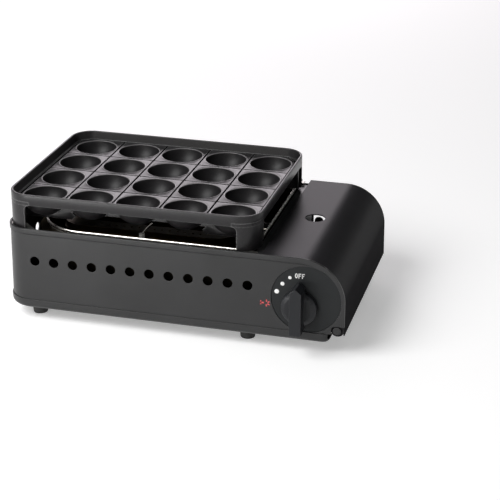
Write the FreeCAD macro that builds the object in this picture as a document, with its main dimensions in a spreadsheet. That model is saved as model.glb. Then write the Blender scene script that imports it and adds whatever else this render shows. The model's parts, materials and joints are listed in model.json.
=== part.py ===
"""Cassette-gas takoyaki maker: a 20-cup plate over a burner, with a cartridge bay on the right.

Frame: +X to the right, +Y to the back, +Z up. The origin is the centre of the footprint, on
the surface that the rubber feet stand on. All sizes are in millimetres.
"""
import FreeCAD, Part
import Sketcher
import math
import os
import re

doc = FreeCAD.newDocument("TakoyakiMaker")
sizes = doc.addObject("Spreadsheet::Sheet", "Sizes")
places = doc.addObject("Spreadsheet::Sheet", "Places")
V = FreeCAD.Vector

SIZES = [
    # overall
    ("overall_width", 348, "left edge of the base pan to the foot of the cover"),
    ("overall_depth", 231, "tip of the knob to the back of the body"),
    ("overall_height", 133, "table to the rim of the plate"),
    # body
    ("knob_reach", 19.4, "knob tip in front of the body"),
    ("foot_height", 12.5, "underside of the base pan above the table"),
    ("lip_height", 98.6, "top of the body lip above the table"),
    ("body_round", 26, "vertical corner radius of the body"),
    ("body_wall", 1.2, "body sheet"),
    ("body_flare", 1.2, "how far the left wall leans out towards the bottom"),
    ("lip_step", 0.8, "lip stands proud of the wall"),
    ("lip_band", 5.6, "height of the lip"),
    ("lip_side", 4, "width of the lip down the right side of the front"),
    ("lip_hem", 2.4, "thickness of the rolled lip"),
    ("pan_wall", 0.8, "base pan sheet"),
    ("pan_rim", 10, "height of the pan rim"),
    ("pan_rim_right", 4, "height of the pan rim under the cover"),
    ("pan_right_inset", 14.4, "right end of the pan from the overall right"),
    ("pan_round_right", 8, "right corners of the pan"),
    ("pan_edge_round", 5, "bottom edge of the pan"),
    ("shoulder_round", 43, "shoulder of the front panel at the right"),
    ("notch_left", 13, "hinge notch: from the overall right"),
    ("notch_top", 31.5, "hinge notch: top above the table"),
    ("fit_gap", 0.3, "clearance between parts that move past each other"),
    ("sheet_gap", 0.2, "clearance at the ends of an inner sheet"),
    # vents
    ("vent_pitch", 19.82, "spacing of the vent holes"),
    ("vent_radius", 4.95, "vent hole"),
    ("vent_height", 64.4, "vent row above the table"),
    ("vent_first", 34.5, "first vent from the overall left"),
    ("vents_front", 12, "vents in the front wall"),
    ("vents_back", 15, "vents in the back wall"),
    ("vents_side", 4, "vents in the left wall"),
    ("vent_side_pitch", 39.64, "spacing of the vents in the left wall"),
    ("bay_vent_side", 96.4, "air opening in the back wall of the bay, from the middle"),
    ("bay_vent_wide", 14, "air opening of the bay"),
    ("bay_vent_tall", 8.7, "air opening of the bay"),
    ("bay_vent_low", 50, "air opening of the bay above the table"),
    ("bay_stop_side", 102.3, "round tab standing in the air opening, from the middle"),
    ("bay_stop_radius", 5, "round tab"),
    ("bay_stop_tall", 7, "round tab"),
    # cover
    ("cover_left", 92, "left edge of the cover from the middle"),
    ("cover_drop", 0.6, "cover top below the lip"),
    ("cover_flare", 1, "right wall of the cover leans out to its foot"),
    ("cover_wall", 1.2, "cover sheet"),
    ("cover_foot", 22, "lower edge of the cover above the table"),
    ("under_cover", 3.8, "seat below the top of the cover"),
    ("finger_radius", 10, "finger hole"),
    ("finger_offset", 28.6, "finger hole from the left edge of the cover"),
    ("hinge_inset", 7.4, "hinge pin from the overall right"),
    ("hinge_height", 26.3, "hinge pin above the table"),
    ("ear_radius", 6.2, "hinge ear around its pin"),
    ("ear_rise", 9.7, "top of the hinge ear above its pin"),
    ("pin_radius", 2.5, "hinge pin"),
    ("pin_play", 0.05, "radial play of a pin or shaft"),
    ("pin_head", 4, "hinge pin head radius"),
    ("pin_head_length", 1.3, "hinge pin head"),
    ("bracket_wall", 1.5, "bracket sheet"),
    ("tab_half", 3.9, "hinge bracket tab above and below the pin"),
    ("tab_foot", 12.5, "foot of a hinge bracket, left to right"),
    # plate
    ("plate_width", 257, "plate, left to right"),
    ("plate_depth", 205, "plate, front to back"),
    ("plate_left_gap", 4.5, "plate rim inside the overall left"),
    ("plate_round", 22.5, "plate corner radius"),
    ("plate_wall", 3, "rim and leg thickness"),
    ("rim_height", 8.6, "rim above the cooking surface"),
    ("deck_thickness", 2.6, "deck of the plate"),
    ("leg_length", 36, "rim top to leg end"),
    ("leg_width", 21, "leg at each corner"),
    ("window_round", 5, "upper corners of the leg windows"),
    ("cup_pitch", 48.45, "cup spacing both ways"),
    ("cup_radius", 21.45, "cup mouth"),
    ("cup_depth", 19, "cup depth below the surface"),
    ("cup_wall", 2.2, "cup wall"),
    ("cup_lip", 1.1, "bevelled lip of a cup"),
    ("cups_across", 5, "cups in a row"),
    ("cups_deep", 4, "rows of cups"),
    ("groove_wide", 1.5, "groove between columns"),
    ("groove_fine", 0.9, "groove between rows"),
    ("groove_depth", 0.7, "depth of the grooves"),
    ("groove_margin", 2, "grooves stop this far inside the rim"),
    ("rib_wall", 3, "rib under the deck"),
    ("rib_depth", 14.4, "shallow rib below the deck"),
    ("web_depth", 22, "deep web below the deck at each end of the outer rows"),
    ("web_length", 60, "deep web from the inside of the side wall"),
    ("web_point", 4, "point at the end of a deep web"),
    ("rest_wall", 1.2, "plate rest sheet"),
    ("rest_size", 33, "corner plate rest, from the corner of the plate"),
    ("rest_width", 20, "right plate rest, left to right"),
    ("rest_deep", 6, "right plate rest, in from the front or back of the plate"),
    # tray
    ("tray_left_inset", 29, "tray from the overall left"),
    ("tray_right_gap", 3, "tray to the partition flange"),
    ("tray_front_gap", 12.6, "tray wall from the front and back of the body"),
    ("tray_round", 50, "left corners of the tray"),
    ("tray_round_right", 14, "right corners of the tray"),
    ("tray_edge_round", 8, "bottom edge of the tray"),
    ("tray_wall", 0.8, "tray sheet"),
    ("tray_rim_height", 95, "top of the tray rim above the table"),
    ("tray_deep", 45, "tray depth"),
    ("tray_bead", 2.4, "rolled rim of the tray"),
    ("tray_flange", 8, "tray flange outside its wall"),
    ("tray_flange_drop", 8.2, "flange below the rim"),
    ("support_width", 14, "tray support"),
    ("support_tall", 12, "tray support"),
    ("support_wall", 1, "tray support sheet"),
    ("support_reach", 7.6, "tray support, under the flange"),
    ("support_left", 60, "left tray supports from the tray end"),
    ("support_right", 40, "right tray supports from the tray end"),
    # burner
    ("burner_length", 180, "burner loop, left to right"),
    ("burner_depth", 114, "burner loop, front to back"),
    ("burner_bar", 17, "width of a burner bar"),
    ("burner_round", 22, "outer corner of the burner loop"),
    ("burner_height", 88, "port face above the table"),
    ("burner_half", 7, "height of each half of the burner"),
    ("burner_wall", 1, "burner sheet"),
    ("burner_seam", 1.4, "crimped seam around the burner"),
    ("seam_wall", 0.6, "half of the seam"),
    ("port_radius", 1.2, "flame port"),
    ("port_pitch", 8, "spacing of the ports"),
    ("ports_across", 17, "ports along a bar"),
    ("tube_radius", 6, "mixing tube, outside"),
    ("tube_wall", 0.8, "mixing tube wall"),
    ("tube_entry", 3, "mixing tube inside the burner"),
    ("tube_mouth", 8, "flared mouth of the mixing tube"),
    ("tube_mouth_length", 3, "flared mouth of the mixing tube"),
    ("tube_clear", 1, "hole around the mixing tube"),
    ("tube_bracket_side", 62, "mixing tube bracket from the middle"),
    ("stand_inset", 30, "burner brackets from the ends of the burner"),
    ("stand_half", 9, "burner bracket, half width"),
    ("stand_deep", 96, "burner bracket, front to back"),
    ("electrode_left", 41.4, "spark electrode left of the middle"),
    ("electrode_gap", 5.7, "spark electrode in front of the burner"),
    ("electrode_radius", 0.75, "spark electrode wire"),
    ("electrode_socket", 2, "cup at the top of the insulator"),
    ("electrode_length", 16.6, "spark electrode wire above its insulator"),
    ("electrode_lean", 40.6, "lean of the wire to the right, in degrees"),
    ("insulator_radius", 3, "ceramic insulator"),
    ("insulator_length", 22, "ceramic insulator"),
    # partition
    ("partition_side", 94, "partition from the middle"),
    ("partition_flange", 11, "flange to the left of the partition"),
    ("partition_foot", 8, "foot to the right of the partition"),
    ("slot_long", 18, "air slot in the partition"),
    ("slot_half", 2.5, "half height of an air slot"),
    ("slot_pitch", 30, "spacing of the air slots"),
    ("slots", 5, "air slots in the partition"),
    ("slot_height", 40, "air slots above the table"),
    # knob and dial
    ("knob_side", 130, "knob axis from the middle"),
    ("knob_up", 48, "knob axis above the table"),
    ("knob_base_radius", 17.6, "round base of the knob"),
    ("knob_base", 5, "thickness of the round base"),
    ("knob_dome", 2.5, "bevel on the base"),
    ("knob_dome_inset", 5, "bevel on the base"),
    ("grip_width", 11.6, "bar of the knob"),
    ("grip_half", 22, "bar of the knob, axis to tail"),
    ("grip_point", 5, "pointed tip of the bar"),
    ("grip_round", 1.2, "edges of the bar"),
    ("grip_lift", 2, "back of the bar in front of the base's back"),
    ("knob_gap", 0.5, "knob clear of the dial"),
    ("dial_radius", 34.4, "round opening for the dial"),
    ("dial_side", 136.1, "dial centre from the middle"),
    ("dial_up", 56.2, "dial centre above the table"),
    ("dial_rise", 0.4, "dial face above its flange"),
    ("dial_overlap", 1.2, "flange behind the front panel"),
    ("dial_wall", 1.2, "dial flange"),
    ("dial_flat", 4, "flat on the dial flange, from the overall right"),
    ("spindle_radius", 3, "valve spindle"),
    ("spindle_hole", 4, "hole for the spindle in dial and bracket"),
    ("spindle_in_knob", 6, "spindle inside the knob"),
    ("spindle_in_valve", 6, "spindle inside the valve"),
    ("cam_low", 8, "reach of the cam at off"),
    ("cam_offset", 3.55, "offset of the round cam from the spindle"),
    ("cam_lean", 60, "direction of the offset above the right, in degrees"),
    ("cam_travel", 5, "travel of the plunger"),
    ("cam_width", 6, "cam thickness"),
    ("cam_gap", 0.5, "cam clear of its neighbours"),
    ("plunger_radius", 2, "igniter plunger"),
    ("plunger_gap", 1, "plunger clear of the cam"),
    ("plunger_length", 15, "igniter plunger"),
    ("igniter_square", 9, "igniter body, square section"),
    ("igniter_length", 17.5, "igniter body"),
    # gas
    ("valve_side", 32, "valve body, left to right"),
    ("valve_deep", 9, "valve body, front to back"),
    ("valve_tall", 42, "valve body height"),
    ("post_radius", 3, "posts between valve bracket and valve body"),
    ("post_side", 12.5, "posts from the cartridge axis"),
    ("post_up", 17, "posts from the cartridge axis"),
    ("governor_radius", 16, "governor cap"),
    ("governor_deep", 3, "governor cap thickness"),
    ("governor_screws", 13, "governor screw circle"),
    ("valve_plate_side", 50, "valve bracket, left to right"),
    ("valve_plate_left", 104.5, "valve bracket from the middle"),
    ("valve_plate_top", 86, "valve bracket above the table"),
    ("valve_plate_foot", 11, "foot of the valve bracket"),
    ("pipe_radius", 2.5, "gas pipe"),
    ("pipe_bend", 6, "centreline radius of the gas pipe bends"),
    ("pipe_side", 104, "long run of the gas pipe from the middle"),
    ("pipe_rise_side", 127, "riser of the gas pipe from the middle"),
    ("nozzle_radius", 4, "gas nozzle holder"),
    ("nozzle_length", 8, "gas nozzle holder"),
    ("jet_radius", 1.5, "gas jet"),
    ("jet_length", 4, "gas jet"),
    # cartridge
    ("can_side", 131.5, "cartridge axis from the middle"),
    ("can_up", 51, "cartridge axis above the table"),
    ("seat_behind", 25.6, "cartridge seat behind the body front"),
    ("seat_side", 46, "cartridge seat, left to right"),
    ("seat_top", 88, "cartridge seat above the table"),
    ("seat_tab", 3, "half width of the tab for the cartridge notch"),
    ("seat_tab_reach", 6, "reach of the tab"),
    ("connector_radius", 9.5, "cartridge connector"),
    ("connector_reach", 2.5, "connector behind the seat"),
    ("nozzle_socket", 3.2, "socket for the cartridge nozzle"),
    ("socket_depth", 4, "socket for the cartridge nozzle"),
    ("magnet_radius", 5, "cartridge magnet"),
    ("magnet_deep", 3, "cartridge magnet"),
    ("magnet_offset", 17, "magnets from the cartridge axis"),
    ("rail_offset", 20, "rails from the cartridge axis"),
    ("rail_half", 2, "half width of a rail"),
    ("rail_top", 22.4, "top of the rails above the table"),
    ("rail_start", 12, "rails behind the seat"),
    ("rail_end", 25, "rails in front of the back"),
    # feet and screws
    ("foot_radius", 8.2, "rubber foot at the top"),
    ("foot_taper", 0.9, "foot is this much smaller at the bottom"),
    ("foot_left_inset", 29, "left feet from the overall left"),
    ("foot_right_side", 73.5, "right feet from the middle"),
    ("foot_behind", 22, "feet from the front and back of the body"),
    ("screw_radius", 1.5, "screw shank"),
    ("screw_play", 0.1, "screw hole around its shank"),
    ("screw_head", 3, "screw head radius"),
    ("screw_head_length", 1.6, "screw head"),
    ("foot_screw", 9, "foot screw below its head"),
    ("short_screw", 5, "other screws below their heads"),
    ("clip_half", 8, "half width of a body bracket"),
    ("clip_side", 120, "left body brackets from the middle"),
    ("clip_right", 55, "right body brackets from the middle"),
    ("clip_tall", 16, "body bracket above the pan floor"),
    ("clip_reach", 14, "body bracket along the pan floor"),
    ("clip_slope", 4, "slope between the legs of a body bracket"),
]

PLACES = [
    ("left", "0 - Sizes.overall_width / 2"),
    ("right", "Sizes.overall_width / 2"),
    ("front", "Sizes.knob_reach - Sizes.overall_depth / 2"),
    ("back", "Sizes.overall_depth / 2"),
    ("middle", "(.front + .back) / 2"),
    ("wall_front", ".front + Sizes.pan_wall"),
    ("wall_back", ".back - Sizes.pan_wall"),
    ("inner_front", ".wall_front + Sizes.body_wall"),
    ("inner_back", ".wall_back - Sizes.body_wall"),
    ("wall_left_low", ".left + Sizes.pan_wall"),
    ("wall_left", ".wall_left_low + Sizes.body_flare"),
    ("lip_left", ".wall_left - Sizes.lip_step"),
    ("lip_front", ".wall_front - Sizes.lip_step"),
    ("lip_back", ".wall_back + Sizes.lip_step"),
    ("lip_low", "Sizes.lip_height - Sizes.lip_band"),
    ("floor", "Sizes.foot_height + Sizes.pan_wall"),
    ("wall_foot", "Sizes.foot_height + Sizes.pan_edge_round"),
    ("pan_right", ".right - Sizes.pan_right_inset"),
    ("notch_side", ".right - Sizes.notch_left"),
    ("cover_top", "Sizes.lip_height - Sizes.cover_drop"),
    ("cover_right", ".right - Sizes.cover_flare"),
    ("cover_front", ".lip_front + Sizes.lip_hem + Sizes.fit_gap"),
    ("cover_round", "Sizes.shoulder_round - Sizes.cover_flare"),
    ("seat_level", ".cover_top - Sizes.under_cover"),
    ("hinge_side", ".right - Sizes.hinge_inset"),
    ("ear_front", ".inner_front + Sizes.dial_wall + Sizes.fit_gap"),
    ("ear_back", ".back - (.ear_front - .front)"),
    ("plate_side", ".left + Sizes.plate_left_gap + Sizes.plate_width / 2"),
    ("plate_left", ".plate_side - Sizes.plate_width / 2"),
    ("plate_right", ".plate_side + Sizes.plate_width / 2"),
    ("plate_front", ".middle - Sizes.plate_depth / 2"),
    ("plate_back", ".middle + Sizes.plate_depth / 2"),
    ("surface", "Sizes.overall_height - Sizes.rim_height"),
    ("deck_under", ".surface - Sizes.deck_thickness"),
    ("leg_end", "Sizes.overall_height - Sizes.leg_length"),
    ("cup_ball", "(Sizes.cup_radius^2 + Sizes.cup_depth^2) / (2 * Sizes.cup_depth)"),
    ("cup_centre", ".surface + .cup_ball - Sizes.cup_depth"),
    ("first_cup_side", ".plate_side - Sizes.cup_pitch * (Sizes.cups_across - 1) / 2"),
    ("first_cup_back", ".middle - Sizes.cup_pitch * (Sizes.cups_deep - 1) / 2"),
    ("flange_left", "Sizes.partition_side - Sizes.partition_flange"),
    ("tray_left", ".left + Sizes.tray_left_inset"),
    ("tray_right", ".flange_left - Sizes.tray_right_gap"),
    ("tray_front", ".front + Sizes.tray_front_gap"),
    ("tray_back", ".back - Sizes.tray_front_gap"),
    ("tray_floor", "Sizes.tray_rim_height - Sizes.tray_deep"),
    ("flange_top", "Sizes.tray_rim_height - Sizes.tray_flange_drop"),
    ("flange_under", ".flange_top - Sizes.tray_wall"),
    ("burner_left", ".plate_side - Sizes.burner_length / 2"),
    ("burner_right", ".plate_side + Sizes.burner_length / 2"),
    ("burner_front", ".middle - Sizes.burner_depth / 2"),
    ("burner_back", ".middle + Sizes.burner_depth / 2"),
    ("seam_height", "Sizes.burner_height - Sizes.burner_half"),
    ("burner_under", ".seam_height - Sizes.burner_half"),
    ("dial_front", ".inner_front - Sizes.dial_rise"),
    ("dial_back", ".inner_front + Sizes.dial_wall"),
    ("bracket_back", ".dial_back + Sizes.bracket_wall"),
    ("cam_front", ".bracket_back + Sizes.cam_gap"),
    ("cam_back", ".cam_front + Sizes.cam_width"),
    ("valve_front", ".cam_back + Sizes.cam_gap"),
    ("valve_back", ".valve_front + Sizes.valve_deep"),
    ("valve_line", "(.valve_front + .valve_back) / 2"),
    ("governor_back", ".valve_back + Sizes.governor_deep"),
    ("valve_top", "Sizes.can_up + Sizes.valve_tall / 2"),
    ("igniter_line", ".bracket_back + Sizes.igniter_square / 2"),
    ("plunger_tip", "Sizes.knob_side - Sizes.cam_low - Sizes.plunger_gap"),
    ("igniter_face", ".plunger_tip - Sizes.cam_travel - Sizes.plunger_gap"),
    ("knob_back", ".dial_front - Sizes.knob_gap"),
    ("knob_front", ".front - Sizes.knob_reach"),
    ("seat_front", ".front + Sizes.seat_behind"),
    ("seat_back", ".seat_front + Sizes.bracket_wall"),
    ("foot_left", ".left + Sizes.foot_left_inset"),
    ("foot_front", ".front + Sizes.foot_behind"),
    ("foot_back", ".back - Sizes.foot_behind"),
]

SIZE_NAMES = [name for name, value, note in SIZES]
PLACE_NAMES = [name for name, text in PLACES]
NODES = []


def fill_sheets():
    """Driving sizes as plain numbers; places worked out from them in a second sheet."""
    for row, (name, value, note) in enumerate(SIZES, 1):
        sizes.set("A%d" % row, note)
        sizes.set("B%d" % row, str(value))
        sizes.setAlias("B%d" % row, name)
    doc.recompute()
    for row, (name, text) in enumerate(PLACES, 1):
        cells = {other: "B%d" % (line + 1) for line, other in enumerate(PLACE_NAMES)}
        places.set("A%d" % row, name)
        text = re.sub(r"\.([a-z][a-z_]*)", lambda match: own_cell(match, cells), text)
        places.set("B%d" % row, "=" + text)
        places.setAlias("B%d" % row, name)
    doc.recompute()


def own_cell(match, cells):
    """A name after a dot is a place of this sheet, unless it belongs to Sizes."""
    return cells.get(match.group(1), match.group(0))


def formula(text):
    """Turn size and place names into references that an expression can use."""
    def reference(match):
        word = match.group(0)
        if word in SIZE_NAMES:
            return "Sizes." + word
        if word in PLACE_NAMES:
            return "Places." + word
        return word
    return re.sub(r"[a-z][a-z_]*", reference, str(text))


def number(text):
    """The present value of an expression."""
    return float(places.evalExpression(formula(text)))


def bind(thing, **properties):
    for name, text in properties.items():
        thing.setExpression(name.replace("__", "."), formula(text))


def put(thing, x="0", y="0", z="0"):
    bind(thing, Placement__Base__x=x, Placement__Base__y=y, Placement__Base__z=z)
    return thing


def node(label, thing):
    """Name a finished sub-part; a piece hands over its body."""
    thing = thing.body if isinstance(thing, Piece) else thing
    thing.Label = label
    NODES.append(thing)
    return thing


# ---------------------------------------------------------------- primitives

TURNS = {
    "Z": FreeCAD.Rotation(),
    "X": FreeCAD.Rotation(V(0, 1, 0), 90),
    "Y": FreeCAD.Rotation(V(1, 0, 0), -90),
}


def block(x, y, z):
    """A box between the named limits on each axis: (low, high) for x, y and z."""
    thing = doc.addObject("Part::Box", "Block")
    bind(thing, Length="(%s) - (%s)" % (x[1], x[0]))
    bind(thing, Width="(%s) - (%s)" % (y[1], y[0]))
    bind(thing, Height="(%s) - (%s)" % (z[1], z[0]))
    return put(thing, x[0], y[0], z[0])


def rod(axis, x, y, z, radius, length):
    """A cylinder that starts at x, y, z and runs along +axis."""
    thing = doc.addObject("Part::Cylinder", "Rod")
    thing.Placement = FreeCAD.Placement(V(), TURNS[axis])
    bind(thing, Radius=radius, Height=length)
    return put(thing, x, y, z)


def taper(axis, x, y, z, radius, end_radius, length):
    thing = doc.addObject("Part::Cone", "Taper")
    thing.Placement = FreeCAD.Placement(V(), TURNS[axis])
    bind(thing, Radius1=radius, Radius2=end_radius, Height=length)
    return put(thing, x, y, z)


def ball(x, y, z, radius):
    thing = doc.addObject("Part::Sphere", "Ball")
    bind(thing, Radius=radius)
    return put(thing, x, y, z)


def plain(shapes):
    return [shape.body if isinstance(shape, Piece) else shape for shape in shapes]


def join(*shapes):
    thing = doc.addObject("Part::MultiFuse", "Join")
    thing.Shapes = plain(shapes)
    thing.Refine = True
    return thing


def cut(base, *tools):
    thing = doc.addObject("Part::Cut", "Cut")
    thing.Base, = plain([base])
    thing.Tool = plain(tools)[0] if len(tools) == 1 else join(*tools)
    thing.Refine = True
    return thing


def group(*shapes):
    """Separate solids that share one sub-part."""
    thing = doc.addObject("Part::Compound", "Group")
    thing.Links = plain(shapes)
    return thing


def screw(axis, x, y, z, under, over="screw_head_length"):
    """A screw whose head starts at x, y, z, with its shank back along the axis by `under`."""
    head = rod(axis, x, y, z, "screw_head", over)
    start = {"X": x, "Y": y, "Z": z}
    start[axis] = "(%s) - (%s)" % (start[axis], under)
    shank = rod(axis, start["X"], start["Y"], start["Z"], "screw_radius", under)
    return join(head, shank)


# ---------------------------------------------------------------- sketched pieces

class Piece:
    """A PartDesign body whose sketches are outlines with named corners and radii."""

    def __init__(self, label):
        self.body = doc.addObject("PartDesign::Body", label)
        self.planes = {item.Role: item for item in self.body.Origin.OriginFeatures}
        self.volume = 0.0

    def sketch(self, plane, start, *loops):
        """Closed loops on a plane through `start` on the plane's own axis."""
        drawing = self.body.newObject("Sketcher::SketchObject", "Outline")
        drawing.AttachmentSupport = [(self.planes[plane + "_Plane"], "")]
        drawing.MapMode = "FlatFace"
        away = "0 - (%s)" % start if plane == "XZ" else start
        bind(drawing, AttachmentOffset__Base__z=away)
        for loop in loops:
            if loop[0] == "circle":
                draw_circle(drawing, loop)
            else:
                draw_loop(drawing, loop)
        return drawing

    def finish(self, feature, grows):
        """Set the tip, rebuild, and make sure that the feature really did something."""
        self.body.Tip = feature
        doc.recompute()
        volume = self.body.Shape.Volume
        if (volume - self.volume) * grows < 1e-6:
            raise RuntimeError("%s: %s has no effect" % (self.body.Label, feature.Label))
        self.volume = volume
        return feature

    def add(self, plane, start, end, *loops):
        """Material between two positions on the plane's axis."""
        pad = self.body.newObject("PartDesign::Pad", "Pad")
        pad.Profile = self.sketch(plane, start, *loops)
        pad.Reversed = plane == "XZ"
        bind(pad, Length="(%s) - (%s)" % (end, start))
        return self.finish(pad, 1)

    def remove(self, plane, start, end, *loops):
        """A cut between two positions on the plane's axis."""
        pocket = self.body.newObject("PartDesign::Pocket", "Pocket")
        pocket.Profile = self.sketch(plane, start, *loops)
        pocket.Reversed = plane != "XZ"
        bind(pocket, Length="(%s) - (%s)" % (end, start))
        return self.finish(pocket, -1)

    def loft(self, kind, low, low_loop, high, high_loop):
        """A wall that leans: between one outline at `low` and another at `high`."""
        skin = self.body.newObject("PartDesign::%sLoft" % kind, "Loft")
        skin.Profile = self.sketch("XY", low, low_loop)
        skin.Sections = [self.sketch("XY", high, high_loop)]
        skin.Ruled = True
        return self.finish(skin, 1 if kind == "Additive" else -1)

    def hollow(self, top, wall):
        """Open the flat face at `top` and leave a wall inside every other face."""
        level = number(top)
        lids = [i for i, face in enumerate(self.body.Shape.Faces, 1)
                if abs(face.BoundBox.ZMin - level) + abs(face.BoundBox.ZMax - level) < 1e-4]
        solid = self.body.Tip
        shell = self.body.newObject("PartDesign::Thickness", "Hollow")
        shell.Base = (solid, ["Face%d" % i for i in lids])
        shell.Reversed = True
        bind(shell, Value=wall)
        return self.finish(shell, -1)

    def round_edges(self, radius, wanted):
        """Fillet the edges that `wanted` picks."""
        chosen = [i for i, edge in enumerate(self.body.Shape.Edges, 1) if wanted(edge)]
        solid = self.body.Tip
        fillet = self.body.newObject("PartDesign::Fillet", "Round")
        fillet.Base = (solid, ["Edge%d" % i for i in chosen])
        bind(fillet, Radius=radius)
        return self.finish(fillet, -1)


def draw_circle(drawing, loop):
    word, x, y, radius = loop
    outline = Part.Circle(V(number(x), number(y), 0), V(0, 0, 1), number(radius))
    circle = drawing.addGeometry(outline, False)
    fix_point(drawing, circle, 3, x, y)
    hold(drawing, Sketcher.Constraint("Radius", circle, number(radius)), radius)


def hold(drawing, constraint, text):
    """Add a dimension and bind it."""
    index = drawing.addConstraint(constraint)
    drawing.setExpression("Constraints[%d]" % index, formula(text))


def fix_point(drawing, item, which, x, y):
    hold(drawing, Sketcher.Constraint("DistanceX", -1, 1, item, which, number(x)), x)
    hold(drawing, Sketcher.Constraint("DistanceY", -1, 1, item, which, number(y)), y)


def corner_arc(before, corner, after, radius):
    """Start, end and centre of the arc that rounds a corner."""
    u = (before - corner).normalize()
    w = (after - corner).normalize()
    half = u.getAngle(w) / 2
    centre = corner + (u + w).normalize() * (radius / math.sin(half))
    reach = radius / math.tan(half)
    return corner + u * reach, corner + w * reach, centre


def draw_loop(drawing, loop):
    """A closed outline: each point is (x, y) or (x, y, radius), every value an expression."""
    points = [V(number(p[0]), number(p[1]), 0) for p in loop]
    radii = [number(p[2]) if len(p) > 2 else 0 for p in loop]
    ends = []
    for i, corner in enumerate(points):
        after = points[(i + 1) % len(points)]
        plain = (corner, corner, None)
        ends.append(corner_arc(points[i - 1], corner, after, radii[i]) if radii[i] else plain)
    lines = []
    for i in range(len(points)):
        segment = Part.LineSegment(ends[i][1], ends[(i + 1) % len(points)][0])
        lines.append(drawing.addGeometry(segment, False))
    for i, corner in enumerate(points):
        mark = drawing.addGeometry(Part.Point(corner), True)
        fix_point(drawing, mark, 1, loop[i][0], loop[i][1])
        if radii[i]:
            round_corner(drawing, lines[i - 1], lines[i], mark, ends[i], loop[i][2])
        else:
            drawing.addConstraint(Sketcher.Constraint("Coincident", lines[i - 1], 2, lines[i], 1))
            drawing.addConstraint(Sketcher.Constraint("Coincident", mark, 1, lines[i], 1))


def round_corner(drawing, before, after, mark, ends, radius):
    start, end, centre = ends
    first = math.atan2(start.y - centre.y, start.x - centre.x)
    last = math.atan2(end.y - centre.y, end.x - centre.x)
    left_turn = (last - first) % (2 * math.pi) < math.pi
    low, high = (first, last) if left_turn else (last, first)
    if high < low:
        high += 2 * math.pi
    circle = Part.Circle(centre, V(0, 0, 1), number(radius))
    arc = drawing.addGeometry(Part.ArcOfCircle(circle, low, high), False)
    entry, leaving = (1, 2) if left_turn else (2, 1)
    drawing.addConstraint(Sketcher.Constraint("Tangent", before, 2, arc, entry))
    drawing.addConstraint(Sketcher.Constraint("Tangent", arc, leaving, after, 1))
    hold(drawing, Sketcher.Constraint("Radius", arc, number(radius)), radius)
    drawing.addConstraint(Sketcher.Constraint("PointOnObject", mark, 1, before))
    drawing.addConstraint(Sketcher.Constraint("PointOnObject", mark, 1, after))


def rectangle(x, y, *radii):
    """A rectangle from (low, high) pairs; radii for front-left, front-right, back-right, back-left."""
    corners = [(x[0], y[0]), (x[1], y[0]), (x[1], y[1]), (x[0], y[1])]
    if len(radii) == 1:
        radii = radii * 4
    return [c + (r,) if r else c for c, r in zip(corners, radii or (None,) * 4)]


def at_height(z):
    """Picks the edges that lie flat at a height."""
    level = number(z)
    return lambda edge: abs(edge.BoundBox.ZMin - level) + abs(edge.BoundBox.ZMax - level) < 1e-4


def at_depth(y):
    """Picks the edges that lie flat at a depth."""
    level = number(y)
    return lambda edge: abs(edge.BoundBox.YMin - level) + abs(edge.BoundBox.YMax - level) < 1e-4


def plus(*terms):
    return " + ".join("(%s)" % term for term in terms)


def minus(start, *terms):
    return " - ".join("(%s)" % term for term in (start,) + terms)


def between(middle, half):
    """A (low, high) pair about a middle."""
    return minus(middle, half), plus(middle, half)


def inset(pair, amount):
    return plus(pair[0], amount), minus(pair[1], amount)


def along(wall, way, amount):
    """A position measured from a wall: forwards for way 1, backwards for way -1."""
    return "(%s) + (%s) * (%s)" % (wall, way, amount)


# ---------------------------------------------------------------- base and body

def holes(points, radius):
    """Round holes for a sketch."""
    return [("circle", x, y, radius) for x, y in points]


SCREW_HOLE = "screw_radius + screw_play"
FEET = [(x, y) for x in ("foot_left", "foot_right_side") for y in ("foot_front", "foot_back")]


def clip_screws():
    """Where the body brackets are screwed to the pan: x, y, and the way inwards."""
    reach = "body_wall + clip_slope + clip_reach / 2"
    rows = [(plus("wall_front", reach), "1"), (minus("wall_back", reach), "-1")]
    return [(x, y, way) for x in ("0 - clip_side", "clip_right") for y, way in rows]


PARTITION_SCREWS = [(plus("partition_side", "partition_foot / 2 + body_wall / 2"), y)
                    for y in ("front + 60", "back - 30")]
VALVE_SCREWS = [(x, plus("bracket_back", "valve_plate_foot / 2"))
                for x in ("valve_plate_left + 12", "can_side")]
SEAT_SCREWS = [(x, "seat_back + 5") for x in ("can_side - seat_side / 2 + 6", "can_side + 5")]
HINGE_SCREWS = [("pan_right - pan_edge_round - tab_foot / 2", y)
                for y in ("ear_front + 10", "ear_back - 10")]


def pan_screw_places():
    clips = [(x, y) for x, y, way in clip_screws()]
    return clips + PARTITION_SCREWS + VALVE_SCREWS + SEAT_SCREWS + HINGE_SCREWS


def base_pan():
    pan = Piece("pan")
    rim_top = "foot_height + pan_rim"
    outline = rectangle(("left", "pan_right"), ("front", "back"),
                        "body_round", "pan_round_right", "pan_round_right", "body_round")
    pan.add("XY", "foot_height", rim_top, outline)
    pan.round_edges("pan_edge_round", at_height("foot_height"))
    pan.hollow(rim_top, "pan_wall")
    low_side = rectangle(("pan_right - pan_round_right", "right"),
                         inset(("front", "back"), "lip_hem + fit_gap"))
    pan.remove("XY", "foot_height + pan_rim_right", plus(rim_top, "1"), low_side)
    pan.remove("XY", "foot_height - 1", "floor + 1", *holes(FEET + pan_screw_places(), SCREW_HOLE))
    return node("base_pan", pan)


def rubber_feet():
    feet = []
    for x, y in FEET:
        foot = taper("Z", x, y, "0", "foot_radius - foot_taper", "foot_radius", "foot_height")
        bore = rod("Z", x, y, "floor - foot_screw", SCREW_HOLE, "foot_screw")
        feet.append(cut(foot, bore))
    return node("rubber_feet", group(*feet))


def foot_screws():
    return node("foot_screws", group(*[screw("Z", x, y, "floor", "foot_screw") for x, y in FEET]))


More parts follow.
